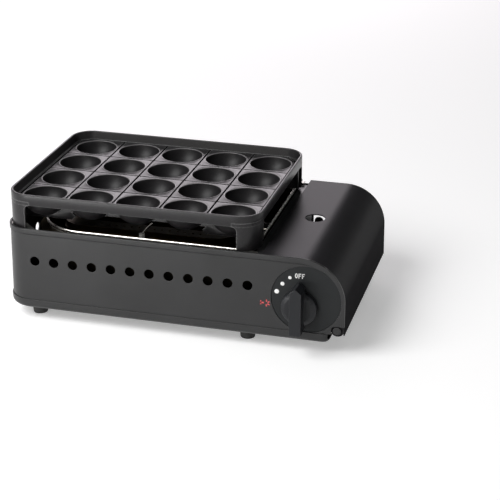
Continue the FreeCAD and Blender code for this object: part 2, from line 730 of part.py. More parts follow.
def pan_screws():
    """Screws from below, their heads under the pan."""
    made = []
    for x, y in pan_screw_places():
        head = rod("Z", x, y, "foot_height - screw_head_length", "screw_head", "screw_head_length")
        made.append(join(head, rod("Z", x, y, "foot_height", "screw_radius", "short_screw")))
    return node("pan_screws", group(*made))


def body_outline(left, front, back, radius, right):
    return rectangle((left, right), (front, back), radius, None, None, radius)


def contour(right, top, radius, low):
    """The region outside a right shoulder, to cut away."""
    start = minus(right, "shoulder_round * 2")
    beyond_right = plus("right", "10")
    beyond_top = plus("lip_height", "10")
    return [(start, beyond_top), (start, top), (right, top, radius), (right, low),
            (beyond_right, low), (beyond_right, beyond_top)]


def body_shell():
    shell = Piece("shell")
    past = plus("right", "5")
    round_wall = "body_round - pan_wall"
    outside = ("wall_front", "wall_back", round_wall, "right")
    shell.loft("Additive", "wall_foot", body_outline("wall_left_low", *outside),
               "lip_low", body_outline("wall_left", *outside))
    inside = ("inner_front", "inner_back", minus(round_wall, "body_wall"), past)
    shell.loft("Subtractive", "wall_foot", body_outline("wall_left_low + body_wall", *inside),
               "lip_low", body_outline("wall_left + body_wall", *inside))
    shell.add("XY", "lip_low", "lip_height", lip_outline())
    shell.add("XY", "lip_low", "seat_level",
              rectangle(("flange_left - 1", "right"), ("inner_back", "wall_back")))
    shell.add("XZ", "lip_front", "lip_front + lip_hem", shoulder_lip())
    shell.remove("XZ", "lip_front - 1", "inner_front + 2",
                 contour("right", "lip_height", "shoulder_round", "wall_foot - 1"))
    back_shoulder = contour("cover_right - under_cover", "seat_level", "cover_round - under_cover",
                            "wall_foot - 1")
    shell.remove("XZ", "inner_back - 1", "wall_back + 1", back_shoulder)
    rim_end = "pan_right - pan_round_right"
    above_rim = "foot_height + pan_rim + fit_gap"
    notch = [(rim_end, "wall_foot - 1"), (past, "wall_foot - 1"), (past, "notch_top"),
             ("notch_side", "notch_top", "lip_side"), ("notch_side", above_rim), (rim_end, above_rim)]
    shell.remove("XZ", "lip_front - 1", "wall_back + 1", notch)
    open_walls(shell)
    return node("body_shell", shell)


def lip_outline():
    """The rolled lip in plan: along the front, round the left and along the back."""
    inner_left = plus("lip_left", "lip_hem")
    inner_round = minus("body_round", "lip_hem")
    return [("right", "lip_front"), ("right", "lip_front + lip_hem"),
            (inner_left, "lip_front + lip_hem", inner_round),
            (inner_left, "lip_back - lip_hem", inner_round),
            ("flange_left", "lip_back - lip_hem"), ("flange_left", "lip_back"),
            ("lip_left", "lip_back", "body_round"), ("lip_left", "lip_front", "body_round")]


def shoulder_lip():
    """The lip on the front face, over the shoulder and down to the hinge notch."""
    start = minus("right", "shoulder_round * 2")
    return [(start, "lip_height"), ("right", "lip_height", "shoulder_round"), ("right", "notch_top"),
            ("right - lip_side", "notch_top"),
            ("right - lip_side", "lip_low", "shoulder_round - lip_band"), (start, "lip_low")]


def bay_vent():
    """Air opening behind the cartridge bay; a round tab stands up from its lower edge."""
    right_side = plus("bay_vent_side", "bay_vent_wide")
    top = plus("bay_vent_low", "bay_vent_tall")
    tab_left, tab_right = between("bay_stop_side", "bay_stop_radius")
    tab_top = plus("bay_vent_low", "bay_stop_tall")
    tab_round = "bay_stop_radius * 0.98"
    return [("bay_vent_side", "bay_vent_low"), (tab_left, "bay_vent_low"),
            (tab_left, tab_top, tab_round), (tab_right, tab_top, tab_round),
            (tab_right, "bay_vent_low"), (right_side, "bay_vent_low"),
            (right_side, top, "bay_vent_tall / 4"), ("bay_vent_side", top)]


def open_walls(shell):
    """Vent rows, the air opening of the bay and the dial opening."""
    front_row, back_row = [[(plus("left", "vent_first", "vent_pitch * %d" % k), "vent_height")
                            for k in range(round(number(count)))] for count in ("vents_front", "vents_back")]
    side_count = round(number("vents_side"))
    side_row = [(plus("middle", "vent_side_pitch * %s" % (k - (side_count - 1) / 2)), "vent_height")
                for k in range(side_count)]
    shell.remove("XZ", "lip_front - 1", "inner_front + 1", *holes(front_row, "vent_radius"))
    shell.remove("XZ", "inner_back - 1", "lip_back + 1", *holes(back_row, "vent_radius"), bay_vent())
    shell.remove("YZ", "left - 1", "wall_left + body_wall + 1", *holes(side_row, "vent_radius"))
    shell.remove("XZ", "lip_front - 1", "inner_front + 2", ("circle", "dial_side", "dial_up", "dial_radius"))
    flange = ("circle", "dial_side", "dial_up", "dial_radius + dial_overlap + fit_gap")
    shell.remove("XZ", "inner_front", "inner_front + 2", flange)


def shell_brackets():
    """Brackets that join the wall to the pan floor; they clear the rounded edge of the pan."""
    made = []
    for x, y, way in clip_screws():
        wall = "inner_front" if way == "1" else "inner_back"
        tall = plus("floor", "clip_tall")
        foot_top = plus("floor", "body_wall")
        profile = [("0", tall), ("body_wall", tall), ("body_wall", "wall_foot + body_wall"),
                   ("clip_slope + body_wall", foot_top), ("clip_slope + clip_reach", foot_top),
                   ("clip_slope + clip_reach", "floor"), ("clip_slope", "floor"), ("0", "wall_foot")]
        clip = Piece("clip")
        clip.add("YZ", minus(x, "clip_half"), plus(x, "clip_half"),
                 [(along(wall, way, amount), height) for amount, height in profile])
        bore = rod("Z", x, y, "floor - 1", SCREW_HOLE, "body_wall + 2")
        made.append(cut(clip, bore))
    return node("shell_brackets", group(*made))


# ---------------------------------------------------------------- cover and hinge

def cover_outline():
    wall = "cover_wall"
    hem = plus("seat_level", "fit_gap")
    return [("cover_left", "cover_top"), ("cover_right", "cover_top", "cover_round"),
            ("right", "cover_foot"), (minus("right", wall), "cover_foot"),
            (minus("cover_right", wall), minus("cover_top", wall), minus("cover_round", wall)),
            (plus("cover_left", wall), minus("cover_top", wall)), (plus("cover_left", wall), hem),
            ("cover_left", hem)]


def hinge_ear():
    """The tab folded in at each end of the cover, around its pin."""
    into_sheet = minus("right", "cover_wall * 0.8")
    low = minus("hinge_height", "ear_radius")
    left_edge = minus("hinge_side", "ear_radius")
    top = plus("hinge_height", "ear_rise")
    return [(left_edge, low, "ear_radius - fit_gap"), (into_sheet, low, "ear_radius - fit_gap"),
            (into_sheet, top), (left_edge, top, "ear_radius / 2")]


def cartridge_cover():
    cover = Piece("cover")
    cover.add("XZ", "cover_front", "back", cover_outline())
    cover.remove("XZ", "ear_back", "back + 1", hem_clearance())
    for start in ("ear_front", "ear_back - cover_wall"):
        cover.add("XZ", start, plus(start, "cover_wall"), hinge_ear())
        hole = ("circle", "hinge_side", "hinge_height", "pin_radius + pin_play")
        cover.remove("XZ", minus(start, "0.1"), plus(start, "cover_wall + 0.1"), hole)
    finger = ("circle", "cover_left + finger_offset", "middle", "finger_radius")
    cover.remove("XY", "cover_top - 3", "cover_top + 1", finger)
    return node("cartridge_cover", cover)


def hem_clearance():
    """The hem stops before the back wall, which carries the cover there."""
    low = minus("seat_level", "1")
    high = minus("cover_top", "cover_wall")
    return rectangle(("cover_left - 1", "cover_left + 3"), (low, high))


def hinge_pins():
    """Pins with a head outside each ear; the bracket holds the far end."""
    length = "cover_wall + bracket_wall + fit_gap * 2"
    front = join(rod("Y", "hinge_side", "ear_front - fit_gap", "hinge_height", "pin_radius", length),
                 rod("Y", "hinge_side", minus("ear_front", "fit_gap", "pin_head_length"), "hinge_height",
                     "pin_head", "pin_head_length"))
    back_end = minus("ear_back", "cover_wall", "bracket_wall", "fit_gap")
    back = join(rod("Y", "hinge_side", back_end, "hinge_height", "pin_radius", length),
                rod("Y", "hinge_side", "ear_back + fit_gap", "hinge_height", "pin_head", "pin_head_length"))
    return node("hinge_pins", group(front, back))


def hinge_brackets():
    low = minus("hinge_height", "tab_half")
    high = plus("hinge_height", "tab_half")
    tip = plus("hinge_side", "tab_half")
    foot_left = minus("pan_right", "pan_edge_round", "tab_foot")
    foot_right = minus("pan_right", "pan_edge_round")
    tab = [(foot_left, "floor"), (foot_right, "floor"), (foot_right, low, "1"), (tip, low, "tab_half - 0.1"),
           (tip, high, "tab_half - 0.1"), (foot_left, high, "3")]
    made = []
    starts = (("ear_front + cover_wall + fit_gap", "1"),
              (minus("ear_back", "cover_wall", "fit_gap", "bracket_wall"), "-1"))
    for (start, way), (x, y) in zip(starts, HINGE_SCREWS):
        plate = Piece("hinge")
        plate.add("XZ", start, plus(start, "bracket_wall"), tab)
        far = plus(start, "tab_foot") if way == "1" else minus(start, "tab_foot - bracket_wall")
        near = plus(start, "bracket_wall") if way == "1" else start
        span = (near, far) if way == "1" else (far, near)
        plate.add("XY", "floor", "floor + bracket_wall", rectangle((foot_left, foot_right), span))
        bore = rod("Z", x, y, "floor - 1", SCREW_HOLE, "bracket_wall + 2")
        seat = rod("Y", "hinge_side", minus(start, "1"), "hinge_height", "pin_radius", "bracket_wall + 2")
        made.append(cut(plate, bore, seat))
    return node("hinge_brackets", group(*made))


# ---------------------------------------------------------------- inner sheet metal

def partition():
    """The heat shield between burner and cartridge; its flange carries the cover's edge."""
    wall = Piece("partition")
    side = "partition_side"
    profile = [(side, "floor"), (plus(side, "body_wall + partition_foot"), "floor"),
               (plus(side, "body_wall + partition_foot"), "floor + body_wall"),
               (plus(side, "body_wall"), "floor + body_wall"), (plus(side, "body_wall"), "seat_level"),
               ("flange_left", "seat_level"), ("flange_left", "seat_level - body_wall"),
               (side, "seat_level - body_wall")]
    end_gap = "sheet_gap + pan_edge_round"
    wall.add("XZ", plus("inner_front", end_gap), minus("inner_back", end_gap), profile)
    openings = [("circle", "middle", "seam_height", "tube_radius + tube_clear")]
    count = round(number("slots"))
    for k in range(count):
        row = plus("middle", "slot_pitch * %s" % (k - (count - 1) / 2))
        openings.append(rectangle(between(row, "slot_long / 2"), between("slot_height", "slot_half"),
                                  "slot_half * 0.98"))
    wall.remove("YZ", minus(side, "1"), plus(side, "body_wall + 1"), *openings)
    wall.remove("XY", "floor - 1", "floor + body_wall + 1", *holes(PARTITION_SCREWS, SCREW_HOLE))
    return node("partition", wall)


def tray_outline(outset):
    """The tray in plan, moved outwards by a positive amount."""
    left_round = plus("tray_round", outset)
    right_round = plus("tray_round_right", outset)
    return rectangle((minus("tray_left", outset), plus("tray_right", outset)),
                     (minus("tray_front", outset), plus("tray_back", outset)),
                     left_round, right_round, right_round, left_round)


def support_places():
    """Tray supports: x, y of the screw, and the way inwards from the wall."""
    reach = "(support_reach) / 2 + 1.2"
    return [(x, along(wall, way, reach), wall, way)
            for x in ("tray_left + support_left", "tray_right - support_right")
            for wall, way in (("inner_front", "1"), ("inner_back", "-1"))]


def drip_tray():
    tray = Piece("tray")
    tray.add("XY", "tray_floor", "tray_rim_height", tray_outline("0"))
    tray.round_edges("tray_edge_round", at_height("tray_floor"))
    tray.hollow("tray_rim_height", "tray_wall")
    inner = tray_outline("0 - tray_wall")
    tray.add("XY", "tray_rim_height - tray_bead", "tray_rim_height",
             tray_outline("tray_bead - tray_wall"), inner)
    tray.add("XY", "flange_under", "flange_top", tray_outline("tray_flange"), inner)
    tray.remove("YZ", "tray_right - tray_wall * 2", "tray_right + tray_flange + 1",
                ("circle", "middle", "seam_height", "tube_radius + tube_clear"))
    screws = [(x, y) for x, y, wall, way in support_places()]
    tray.remove("XY", "flange_under - 1", "flange_top + 1", *holes(screws, SCREW_HOLE))
    return node("drip_tray", tray)


def tray_supports():
    made = []
    for x, y, wall, way in support_places():
        low = minus("flange_under", "support_tall")
        ledge = minus("flange_under", "support_wall")
        profile = [("0", "flange_under"), ("support_reach", "flange_under"), ("support_reach", ledge),
                   ("support_wall", ledge), ("support_wall", low), ("0", low)]
        angle = Piece("support")
        angle.add("YZ", minus(x, "support_width / 2"), plus(x, "support_width / 2"),
                  [(along(wall, way, amount), height) for amount, height in profile])
        made.append(cut(angle, rod("Z", x, y, minus("flange_under", "support_wall + 1"), SCREW_HOLE, "4")))
    return node("tray_supports", group(*made))


def tray_screws():
    return node("tray_screws", group(*[screw("Z", x, y, "flange_top", "short_screw")
                                       for x, y, wall, way in support_places()]))


def plate_rests():
    """Four rests from the lip to below the plate's leg ends: two corner plates and two tabs."""
    inner_left = plus("lip_left", "lip_hem")
    inner_round = minus("body_round", "lip_hem")
    made = []
    for wall, edge, way in (("lip_front + lip_hem", "plate_front", "1"),
                            ("lip_back - lip_hem", "plate_back", "-1")):
        corner = Piece("rest")
        corner.add("XY", "leg_end - rest_wall", "leg_end", [
            (inner_left, wall, inner_round), (plus("plate_left", "rest_size"), wall),
            (inner_left, along(edge, way, "rest_size"))])
        made.append(corner)
        reach = sorted([wall, along(edge, way, "rest_deep")], key=number)
        tab_left = minus("plate_right", "leg_width")
        tab = (tab_left, plus(tab_left, "rest_width"))
        made.append(block(tab, reach, ("leg_end - rest_wall", "leg_end")))
    return node("plate_rests", group(*made))


# ---------------------------------------------------------------- plate

def plate_frame():
    """Rim, deck and legs, with the ribs and webs under the deck."""
    frame = Piece("frame")
    wide = ("plate_left", "plate_right")
    deep = ("plate_front", "plate_back")
    inner = rectangle(inset(wide, "plate_wall"), inset(deep, "plate_wall"), "plate_round - plate_wall")
    frame.add("XY", "leg_end", "overall_height", rectangle(wide, deep, "plate_round"))
    frame.remove("XY", "surface", "overall_height + 1", inner)
    frame.remove("XY", "leg_end - 1", "deck_under", inner)
    tall = ("leg_end - 5", "deck_under")
    rounds = (None, None, "window_round", "window_round")
    front_window = rectangle(inset(wide, "leg_width"), tall, *rounds)
    side_window = rectangle(inset(deep, "leg_width"), tall, *rounds)
    frame.remove("XZ", "plate_front - 1", "plate_back + 1", front_window)
    frame.remove("YZ", "plate_left - 1", "plate_right + 1", side_window)
    for row in range(round(number("cups_deep"))):
        line = plus("first_cup_back", "cup_pitch * %d" % row)
        outer = row in (0, round(number("cups_deep")) - 1)
        frame.add("XZ", minus(line, "rib_wall / 2"), plus(line, "rib_wall / 2"), rib_outline(outer))
    return frame


def rib_outline(deep_ends):
    """A rib under the deck between the cups; the outer rows go on to the sides as deep webs."""
    low = "deck_under - rib_depth"
    if not deep_ends:
        cups = ("first_cup_side", plus("first_cup_side", "cup_pitch * (cups_across - 1)"))
        return rectangle(cups, (low, "deck_under + 0.5"))
    ends = ("plate_left + plate_wall / 2", "plate_right - plate_wall / 2")
    foot = "deck_under - web_depth"
    left_tip = plus("plate_left", "plate_wall + web_length")
    right_tip = minus("plate_right", "plate_wall + web_length")
    return [(ends[0], "deck_under + 0.5"), (ends[0], foot), (minus(left_tip, "web_point"), foot),
            (left_tip, plus(foot, "web_point")), (minus(left_tip, "web_point"), low),
            (plus(right_tip, "web_point"), low), (right_tip, plus(foot, "web_point")),
            (plus(right_tip, "web_point"), foot), (ends[1], foot), (ends[1], "deck_under + 0.5")]


def cup_places():
    across = range(round(number("cups_across")))
    deep = range(round(number("cups_deep")))
    return [(plus("first_cup_side", "cup_pitch * %d" % i), plus("first_cup_back", "cup_pitch * %d" % j))
            for j in deep for i in across]


def takoyaki_plate():
    """One casting: frame and cups joined, then the cup insides and the grooves taken out."""
    outer = "cup_ball + cup_wall"
    cup_band = block(("plate_left", "plate_right"), ("plate_front", "plate_back"),
                     ("leg_end", "surface - deck_thickness / 2"))
    bowls = join(*[ball(x, y, "cup_centre", outer) for x, y in cup_places()])
    below_deck = doc.addObject("Part::Common", "Bowls")
    below_deck.Base = bowls
    below_deck.Tool = cup_band
    casting = join(plate_frame(), below_deck)
    insides = [ball(x, y, "cup_centre", "cup_ball") for x, y in cup_places()]
    lips = [taper("Z", x, y, "surface - cup_lip", "cup_radius", "cup_radius + cup_lip * 2", "cup_lip * 2")
            for x, y in cup_places()]
    return node("takoyaki_plate", cut(casting, *(insides + lips + grooves())))


def grooves():
    cutters = []
    depth = ("surface - groove_depth", "surface + 1")
    across = inset(("plate_left", "plate_right"), "plate_wall + groove_margin")
    deep = inset(("plate_front", "plate_back"), "plate_wall + groove_margin")
    for i in range(round(number("cups_across")) - 1):
        line = plus("first_cup_side", "cup_pitch * %s" % (i + 0.5))
        cutters.append(block(between(line, "groove_wide / 2"), deep, depth))
    for j in range(round(number("cups_deep")) - 1):
        line = plus("first_cup_back", "cup_pitch * %s" % (j + 0.5))
        cutters.append(block(across, between(line, "groove_fine / 2"), depth))
    return cutters


# ---------------------------------------------------------------- burner

def burner_loops(outset):
    """The burner in plan: its outside and the two gaps between its three bars."""
    outside = rectangle((minus("burner_left", outset), plus("burner_right", outset)),
                        (minus("burner_front", outset), plus("burner_back", outset)),
                        plus("burner_round", outset))
    gap_side = inset(("burner_left", "burner_right"), plus("burner_bar", outset))
    gap_round = minus("burner_bar / 2", outset)
    front_gap = (plus("burner_front + burner_bar", outset), minus("middle - burner_bar / 2", outset))
    back_gap = (plus("middle + burner_bar / 2", outset), minus("burner_back - burner_bar", outset))
    return outside, rectangle(gap_side, front_gap, gap_round), rectangle(gap_side, back_gap, gap_round)


TUBE_HOLE = "tube_radius + pin_play"
INWARD = "0 - burner_wall"


def tube_socket():
    return rod("X", "burner_right - burner_wall * 2", "middle", "seam_height", TUBE_HOLE,
               "burner_wall * 3 + burner_seam")


def burner_upper():
    """Upper pressing with three rows of flame ports, open below."""
    half = Piece("upper")
    half.add("XY", "seam_height", "burner_height", *burner_loops("0"))
    half.add("XY", "seam_height", "seam_height + seam_wall", *burner_loops("burner_seam"))
    half.remove("XY", "seam_height - 1", "burner_height - burner_wall", *burner_loops(INWARD))
    count = round(number("ports_across"))
    ports = [(plus("plate_side", "port_pitch * %s" % (k - (count - 1) / 2)), line)
             for line in ("burner_front + burner_bar / 2", "middle", "burner_back - burner_bar / 2")
             for k in range(count)]
    half.remove("XY", "burner_height - burner_wall - 1", "burner_height + 1", *holes(ports, "port_radius"))
    return node("burner_upper", cut(half, tube_socket()))


def stand_screws():
    """Screws that hold the burner on its brackets."""
    return [(x, y) for x in ("burner_left + stand_inset", "burner_right - stand_inset")
            for y in ("burner_front + burner_bar / 2", "burner_back - burner_bar / 2")]


def burner_lower():
    half = Piece("lower")
    half.add("XY", "burner_under", "seam_height", *burner_loops("0"))
    half.add("XY", "seam_height - seam_wall", "seam_height", *burner_loops("burner_seam"))
    half.remove("XY", "burner_under + burner_wall", "seam_height + 1", *burner_loops(INWARD))
    screws = holes(stand_screws(), SCREW_HOLE)
    half.remove("XY", "burner_under - 1", "burner_under + burner_wall + 1", *screws)
    return node("burner_lower", cut(half, tube_socket()))


def mixing_tube():
    """Straight tube from its flared mouth, through shield and tray, into the burner."""
    end = "burner_right - tube_entry * 0.3"
    mouth = "partition_side + body_wall + tube_clear"
    length = minus(mouth, end)
    outside = join(rod("X", end, "middle", "seam_height", "tube_radius", length),
                   taper("X", mouth, "middle", "seam_height", "tube_radius", "tube_mouth",
                         "tube_mouth_length"))
    bore = "tube_radius - tube_wall"
    inside = join(rod("X", minus(end, "1"), "middle", "seam_height", bore, plus(length, "2")),
                  taper("X", mouth, "middle", "seam_height", bore, "tube_mouth - tube_wall",
                        "tube_mouth_length + 0.1"))
    return node("mixing_tube", cut(outside, inside))


def tube_bracket():
    """Saddle on the tray floor under the mixing tube."""
    saddle = Piece("saddle")
    side = "tube_bracket_side"
    deep = between("middle", "tube_mouth + 4")
    saddle.add("XY", "tray_floor + tray_wall", "tray_floor + tray_wall * 2",
               rectangle(between(side, "support_width / 2"), deep))
    saddle.add("YZ", minus(side, "tray_wall"), side,
               rectangle(deep, ("tray_floor + tray_wall", "seam_height + tube_mouth"), None, None, "5", "5"))
    cradle = rod("X", minus(side, "2"), "middle", "seam_height", "tube_radius", "4")
    return node("tube_bracket", cut(saddle, cradle))


def burner_brackets():
    """Channel brackets on the tray floor that carry the burner."""
    made = []
    for x in ("burner_left + stand_inset", "burner_right - stand_inset"):
        stand = Piece("stand")
        low = "tray_floor + tray_wall"
        sides = between(x, "stand_half")
        inner = inset(sides, "burner_wall")
        profile = [(minus(sides[0], "6"), low), (inner[0], low), (inner[0], "burner_under - burner_wall"),
                   (inner[1], "burner_under - burner_wall"), (inner[1], low), (plus(sides[1], "6"), low),
                   (plus(sides[1], "6"), plus(low, "burner_wall")), (sides[1], plus(low, "burner_wall")),
                   (sides[1], "burner_under"), (sides[0], "burner_under"),
                   (sides[0], plus(low, "burner_wall")),
                   (minus(sides[0], "6"), plus(low, "burner_wall"))]
        stand.add("XZ", minus("middle", "stand_deep / 2"), plus("middle", "stand_deep / 2"), profile)
        bores = [rod("Z", x, y, "burner_under - 3", SCREW_HOLE, "4") for y in
                 ("burner_front + burner_bar / 2", "burner_back - burner_bar / 2")]
        made.append(cut(stand, *bores))
    return node("burner_brackets", group(*made))


def burner_screws():
    made = []
    for x, y in stand_screws():
        head = minus("burner_under", "burner_wall", "screw_head_length")
        made.append(join(rod("Z", x, y, head, "screw_head", "screw_head_length"),
                         rod("Z", x, y, "burner_under - burner_wall", "screw_radius", "short_screw * 0.8")))
    return node("burner_screws", group(*made))


def electrode_line():
    return minus("burner_front", "electrode_gap")


def electrode_top():
    return plus("burner_under", "insulator_length - 8")


def spark_electrode():
    """A wire on a ceramic insulator, leaning over the front bar of the burner."""
    root = "electrode_socket - electrode_radius / 2"
    wire = rod("Z", "0 - electrode_left - (%s) * sin(electrode_lean)" % root, electrode_line(),
               "(%s) - (%s) * cos(electrode_lean)" % (electrode_top(), root), "electrode_radius",
               plus("electrode_length", root))
    lean = FreeCAD.Rotation(V(0, 1, 0), number("electrode_lean"))
    wire.Placement = FreeCAD.Placement(wire.Placement.Base, lean)
    return node("electrode_wire", wire)


def insulator():
    x, y = "0 - electrode_left", electrode_line()
    body = join(rod("Z", x, y, "burner_under - 8", "insulator_radius", "insulator_length"),
                rod("Z", x, y, "burner_under", "insulator_radius + 1", "2"))
    socket = ball(x, y, electrode_top(), "electrode_socket")
    return node("electrode_insulator", cut(body, socket))


def electrode_bracket():
    x, y = "0 - electrode_left", electrode_line()
    plate = block(between(x, "insulator_radius * 2"),
                  (minus(y, "insulator_radius * 2"), "burner_front + burner_bar / 2"),
                  ("burner_under - burner_wall", "burner_under"))
    hole = rod("Z", x, y, "burner_under - 3", "insulator_radius + pin_play", "5")
    return node("electrode_bracket", cut(plate, hole))


# ---------------------------------------------------------------- dial, knob and igniter

def dial_plate():
    side, up = "dial_side", "dial_up"
    face = rod("Y", side, "dial_front", up, "dial_radius - fit_gap / 2", "dial_rise")
    flange = rod("Y", side, "inner_front", up, "dial_radius + dial_overlap", "dial_wall")
    flat = block(("right - dial_flat", "right + 20"), ("inner_front - 0.01", "dial_back + 1"),
                 ("0", plus(up, "dial_radius * 2")))
    foot = block(("0", "right + 20"), ("inner_front - 0.01", "dial_back + 1"), ("0", "wall_foot"))
    bore = rod("Y", "knob_side", "dial_front - 1", "knob_up", "spindle_hole", "dial_wall + 3")
    return node("dial_plate", cut(join(face, flange), flat, foot, bore))


def knob():
    """Round base with a bevel, and the pointed bar that the fingers grip."""
    side, up = "knob_side", "knob_up"
    bar = Piece("bar")
    half = "grip_width / 2"
    bar.add("XZ", "knob_front", "knob_back - grip_lift", [
        (minus(side, half), minus(up, "grip_half"), "grip_round"),
        (plus(side, half), minus(up, "grip_half"), "grip_round"),
        (plus(side, half), plus(up, "grip_half")), (side, plus(up, "grip_half + grip_point"), "grip_round"),
        (minus(side, half), plus(up, "grip_half"))])
    bar.round_edges("grip_round / 2", at_depth("knob_front"))
    base_front = minus("knob_back", "knob_base")
    base = rod("Y", side, base_front, up, "knob_base_radius", "knob_base")
    bevel = taper("Y", side, minus(base_front, "knob_dome"), up, "knob_base_radius - knob_dome_inset",
                  "knob_base_radius", "knob_dome")
    bore = rod("Y", side, minus("knob_back", "spindle_in_knob"), up, "spindle_radius + pin_play",
               "spindle_in_knob + 1")
    return node("knob", cut(join(bar, base, bevel), bore))


def spindle():
    start = minus("knob_back", "spindle_in_knob")
    length = minus("valve_front + spindle_in_valve", start)
    return node("spindle", rod("Y", "knob_side", start, "knob_up", "spindle_radius", length))


def ignition_cam():
    """A round cam set off the spindle: it pushes the plunger as the knob turns to ignite."""
    x = "knob_side + cam_offset * cos(cam_lean)"
    z = "knob_up + cam_offset * sin(cam_lean)"
    disc = rod("Y", x, "cam_front", z, "cam_low + cam_offset / 2", "cam_width")
    bore = rod("Y", "knob_side", "cam_front - 1", "knob_up", "spindle_radius + pin_play", "cam_width + 2")
    return node("ignition_cam", cut(disc, bore))


def igniter_body():
    """Sealed piezo igniter on the valve bracket."""
    half = "igniter_square / 2"
    case = block((minus("igniter_face", "igniter_length"), "igniter_face"),
                 ("bracket_back", plus("igniter_line", half)), between("knob_up", half))
    depth = minus("igniter_length", "2")
    bore = rod("X", minus("igniter_face", depth), "igniter_line", "knob_up", "plunger_radius + pin_play",
               plus(depth, "1"))
    return node("igniter_body", cut(case, bore))


def igniter_plunger():
    return node("igniter_plunger", rod("X", "plunger_tip - plunger_length", "igniter_line", "knob_up",
                                       "plunger_radius", "plunger_length"))


# ---------------------------------------------------------------- gas valve and cartridge bay

POSTS = [("0 - post_side", "0 - post_up"), ("post_side", "0 - post_up"), ("0 - post_side", "post_up")]


def valve_bracket():
    """Plate behind the dial, with a foot on the pan floor."""
    plate = Piece("bracket")
    wide = ("valve_plate_left", "valve_plate_left + valve_plate_side")
    plate.add("XZ", "dial_back", "bracket_back",
              rectangle(wide, ("wall_foot + fit_gap", "valve_plate_top"), None, "12", "20", "4"))
    foot = "bracket_back + valve_plate_foot"
    plate.add("YZ", wide[0], "can_side + 6", [
        ("dial_back", "wall_foot + 3"), ("bracket_back", "wall_foot + 3"), ("bracket_back", "wall_foot"),
        ("bracket_back + bracket_wall", "floor + bracket_wall"), (foot, "floor + bracket_wall"),
        (foot, "floor"),
        ("bracket_back + bracket_wall / 3", "floor"), ("dial_back", "wall_foot")])
    bores = [rod("Z", x, y, "floor - 1", SCREW_HOLE, "bracket_wall + 2") for x, y in VALVE_SCREWS]
    bores.append(rod("Y", "knob_side", "dial_back - 1", "knob_up", "spindle_hole", "bracket_wall + 2"))
    for dx, dz in POSTS:
        bores.append(rod("Y", plus("can_side", dx), "dial_back - 1", plus("can_up", dz), SCREW_HOLE,
                         "bracket_wall + 2"))
    return node("valve_bracket", cut(plate, *bores))


def valve_body():
    """Die-cast valve block on three posts."""
    body = block(between("can_side", "valve_side / 2"), ("valve_front", "valve_back"),
                 between("can_up", "valve_tall / 2"))
    posts = [rod("Y", plus("can_side", dx), "bracket_back", plus("can_up", dz), "post_radius",
                 "valve_front - bracket_back + 1") for dx, dz in POSTS]
    bores = [rod("Y", plus("can_side", dx), "bracket_back - 1", plus("can_up", dz), SCREW_HOLE,
                 "valve_back - bracket_back + 2") for dx, dz in POSTS]
    bores.append(rod("Y", "knob_side", "valve_front - 1", "knob_up", "spindle_radius + pin_play",
                     "spindle_in_valve + 1.5"))
    bores += [rod("Y", x, "valve_back - short_screw", z, SCREW_HOLE, "short_screw + 1")
              for x, z in governor_screw_places()]
    bores.append(rod("Z", "pipe_rise_side", "valve_line", "valve_top - 4", "pipe_radius + pin_play", "5"))
    return node("valve_body", cut(join(body, *posts), *bores))


def valve_screws():
    made = []
    for dx, dz in POSTS:
        x, z = plus("can_side", dx), plus("can_up", dz)
        shank = rod("Y", x, "dial_back", z, "screw_radius", minus("valve_back", "dial_back"))
        made.append(join(shank, rod("Y", x, "valve_back", z, "screw_head", "screw_head_length")))
    return node("valve_screws", group(*made))


def governor_screw_places():
    return [(plus("can_side", "governor_screws * cos(%d)" % turn),
             plus("can_up", "governor_screws * sin(%d)" % turn)) for turn in (90, 210, 330)]


def governor_cap():
    disc = rod("Y", "can_side", "valve_back", "can_up", "governor_radius", "governor_deep")
    bores = [rod("Y", x, "valve_back - 1", z, SCREW_HOLE, "governor_deep + 2")
             for x, z in governor_screw_places()]
    return node("governor_cap", cut(disc, *bores))


def governor_screws():
    made = []
    for x, z in governor_screw_places():
        length = "governor_deep + short_screw * 0.8"
        shank = rod("Y", x, minus("governor_back", length), z, "screw_radius", length)
        made.append(join(shank, rod("Y", x, "governor_back", z, "screw_head", "screw_head_length")))
    return node("governor_screws", group(*made))


def cartridge_connector():
    """Ring that the cartridge's nozzle pushes into, through the seat."""
    end = "seat_back + connector_reach"
    ring = rod("Y", "can_side", "governor_back", "can_up", "connector_radius", minus(end, "governor_back"))
    socket = rod("Y", "can_side", minus(end, "socket_depth"), "can_up", "nozzle_socket", "socket_depth + 1")
    return node("cartridge_connector", cut(ring, socket))


def cartridge_seat():
    """Upright plate that the cartridge is pushed against, with a tab for the notch in its collar."""
    seat = Piece("seat")
    wide = between("can_side", "seat_side / 2")
    seat.add("XZ", "seat_front", "seat_back", rectangle(wide, ("floor", "seat_top"), None, None, "14", "6"),
             ("circle", "can_side", "can_up", "connector_radius + fit_gap"))
    seat.add("XY", "floor", "floor + bracket_wall",
             rectangle((wide[0], "can_side + 10"), ("seat_back", "seat_back + rail_start - 1")))
    seat.add("XY", "seat_top - bracket_wall - 1", "seat_top - 1",
             rectangle(between("can_side", "seat_tab"), ("seat_back", "seat_back + seat_tab_reach")))
    bores = [rod("Z", x, y, "floor - 1", SCREW_HOLE, "bracket_wall + 2") for x, y in SEAT_SCREWS]
    return node("cartridge_seat", cut(seat, *bores))


def cartridge_magnets():
    return node("cartridge_magnets", group(*[
        rod("Y", plus("can_side", "%s * magnet_offset" % way), "seat_back", "can_up",
            "magnet_radius", "magnet_deep") for way in ("-1", "1")]))


def cartridge_rails():
    made = []
    for way in ("-1", "1"):
        line = plus("can_side", "%s * rail_offset" % way)
        made.append(block(between(line, "rail_half"), ("seat_back + rail_start", "back - rail_end"),
                          ("floor", "rail_top")))
    return node("cartridge_rails", group(*made))


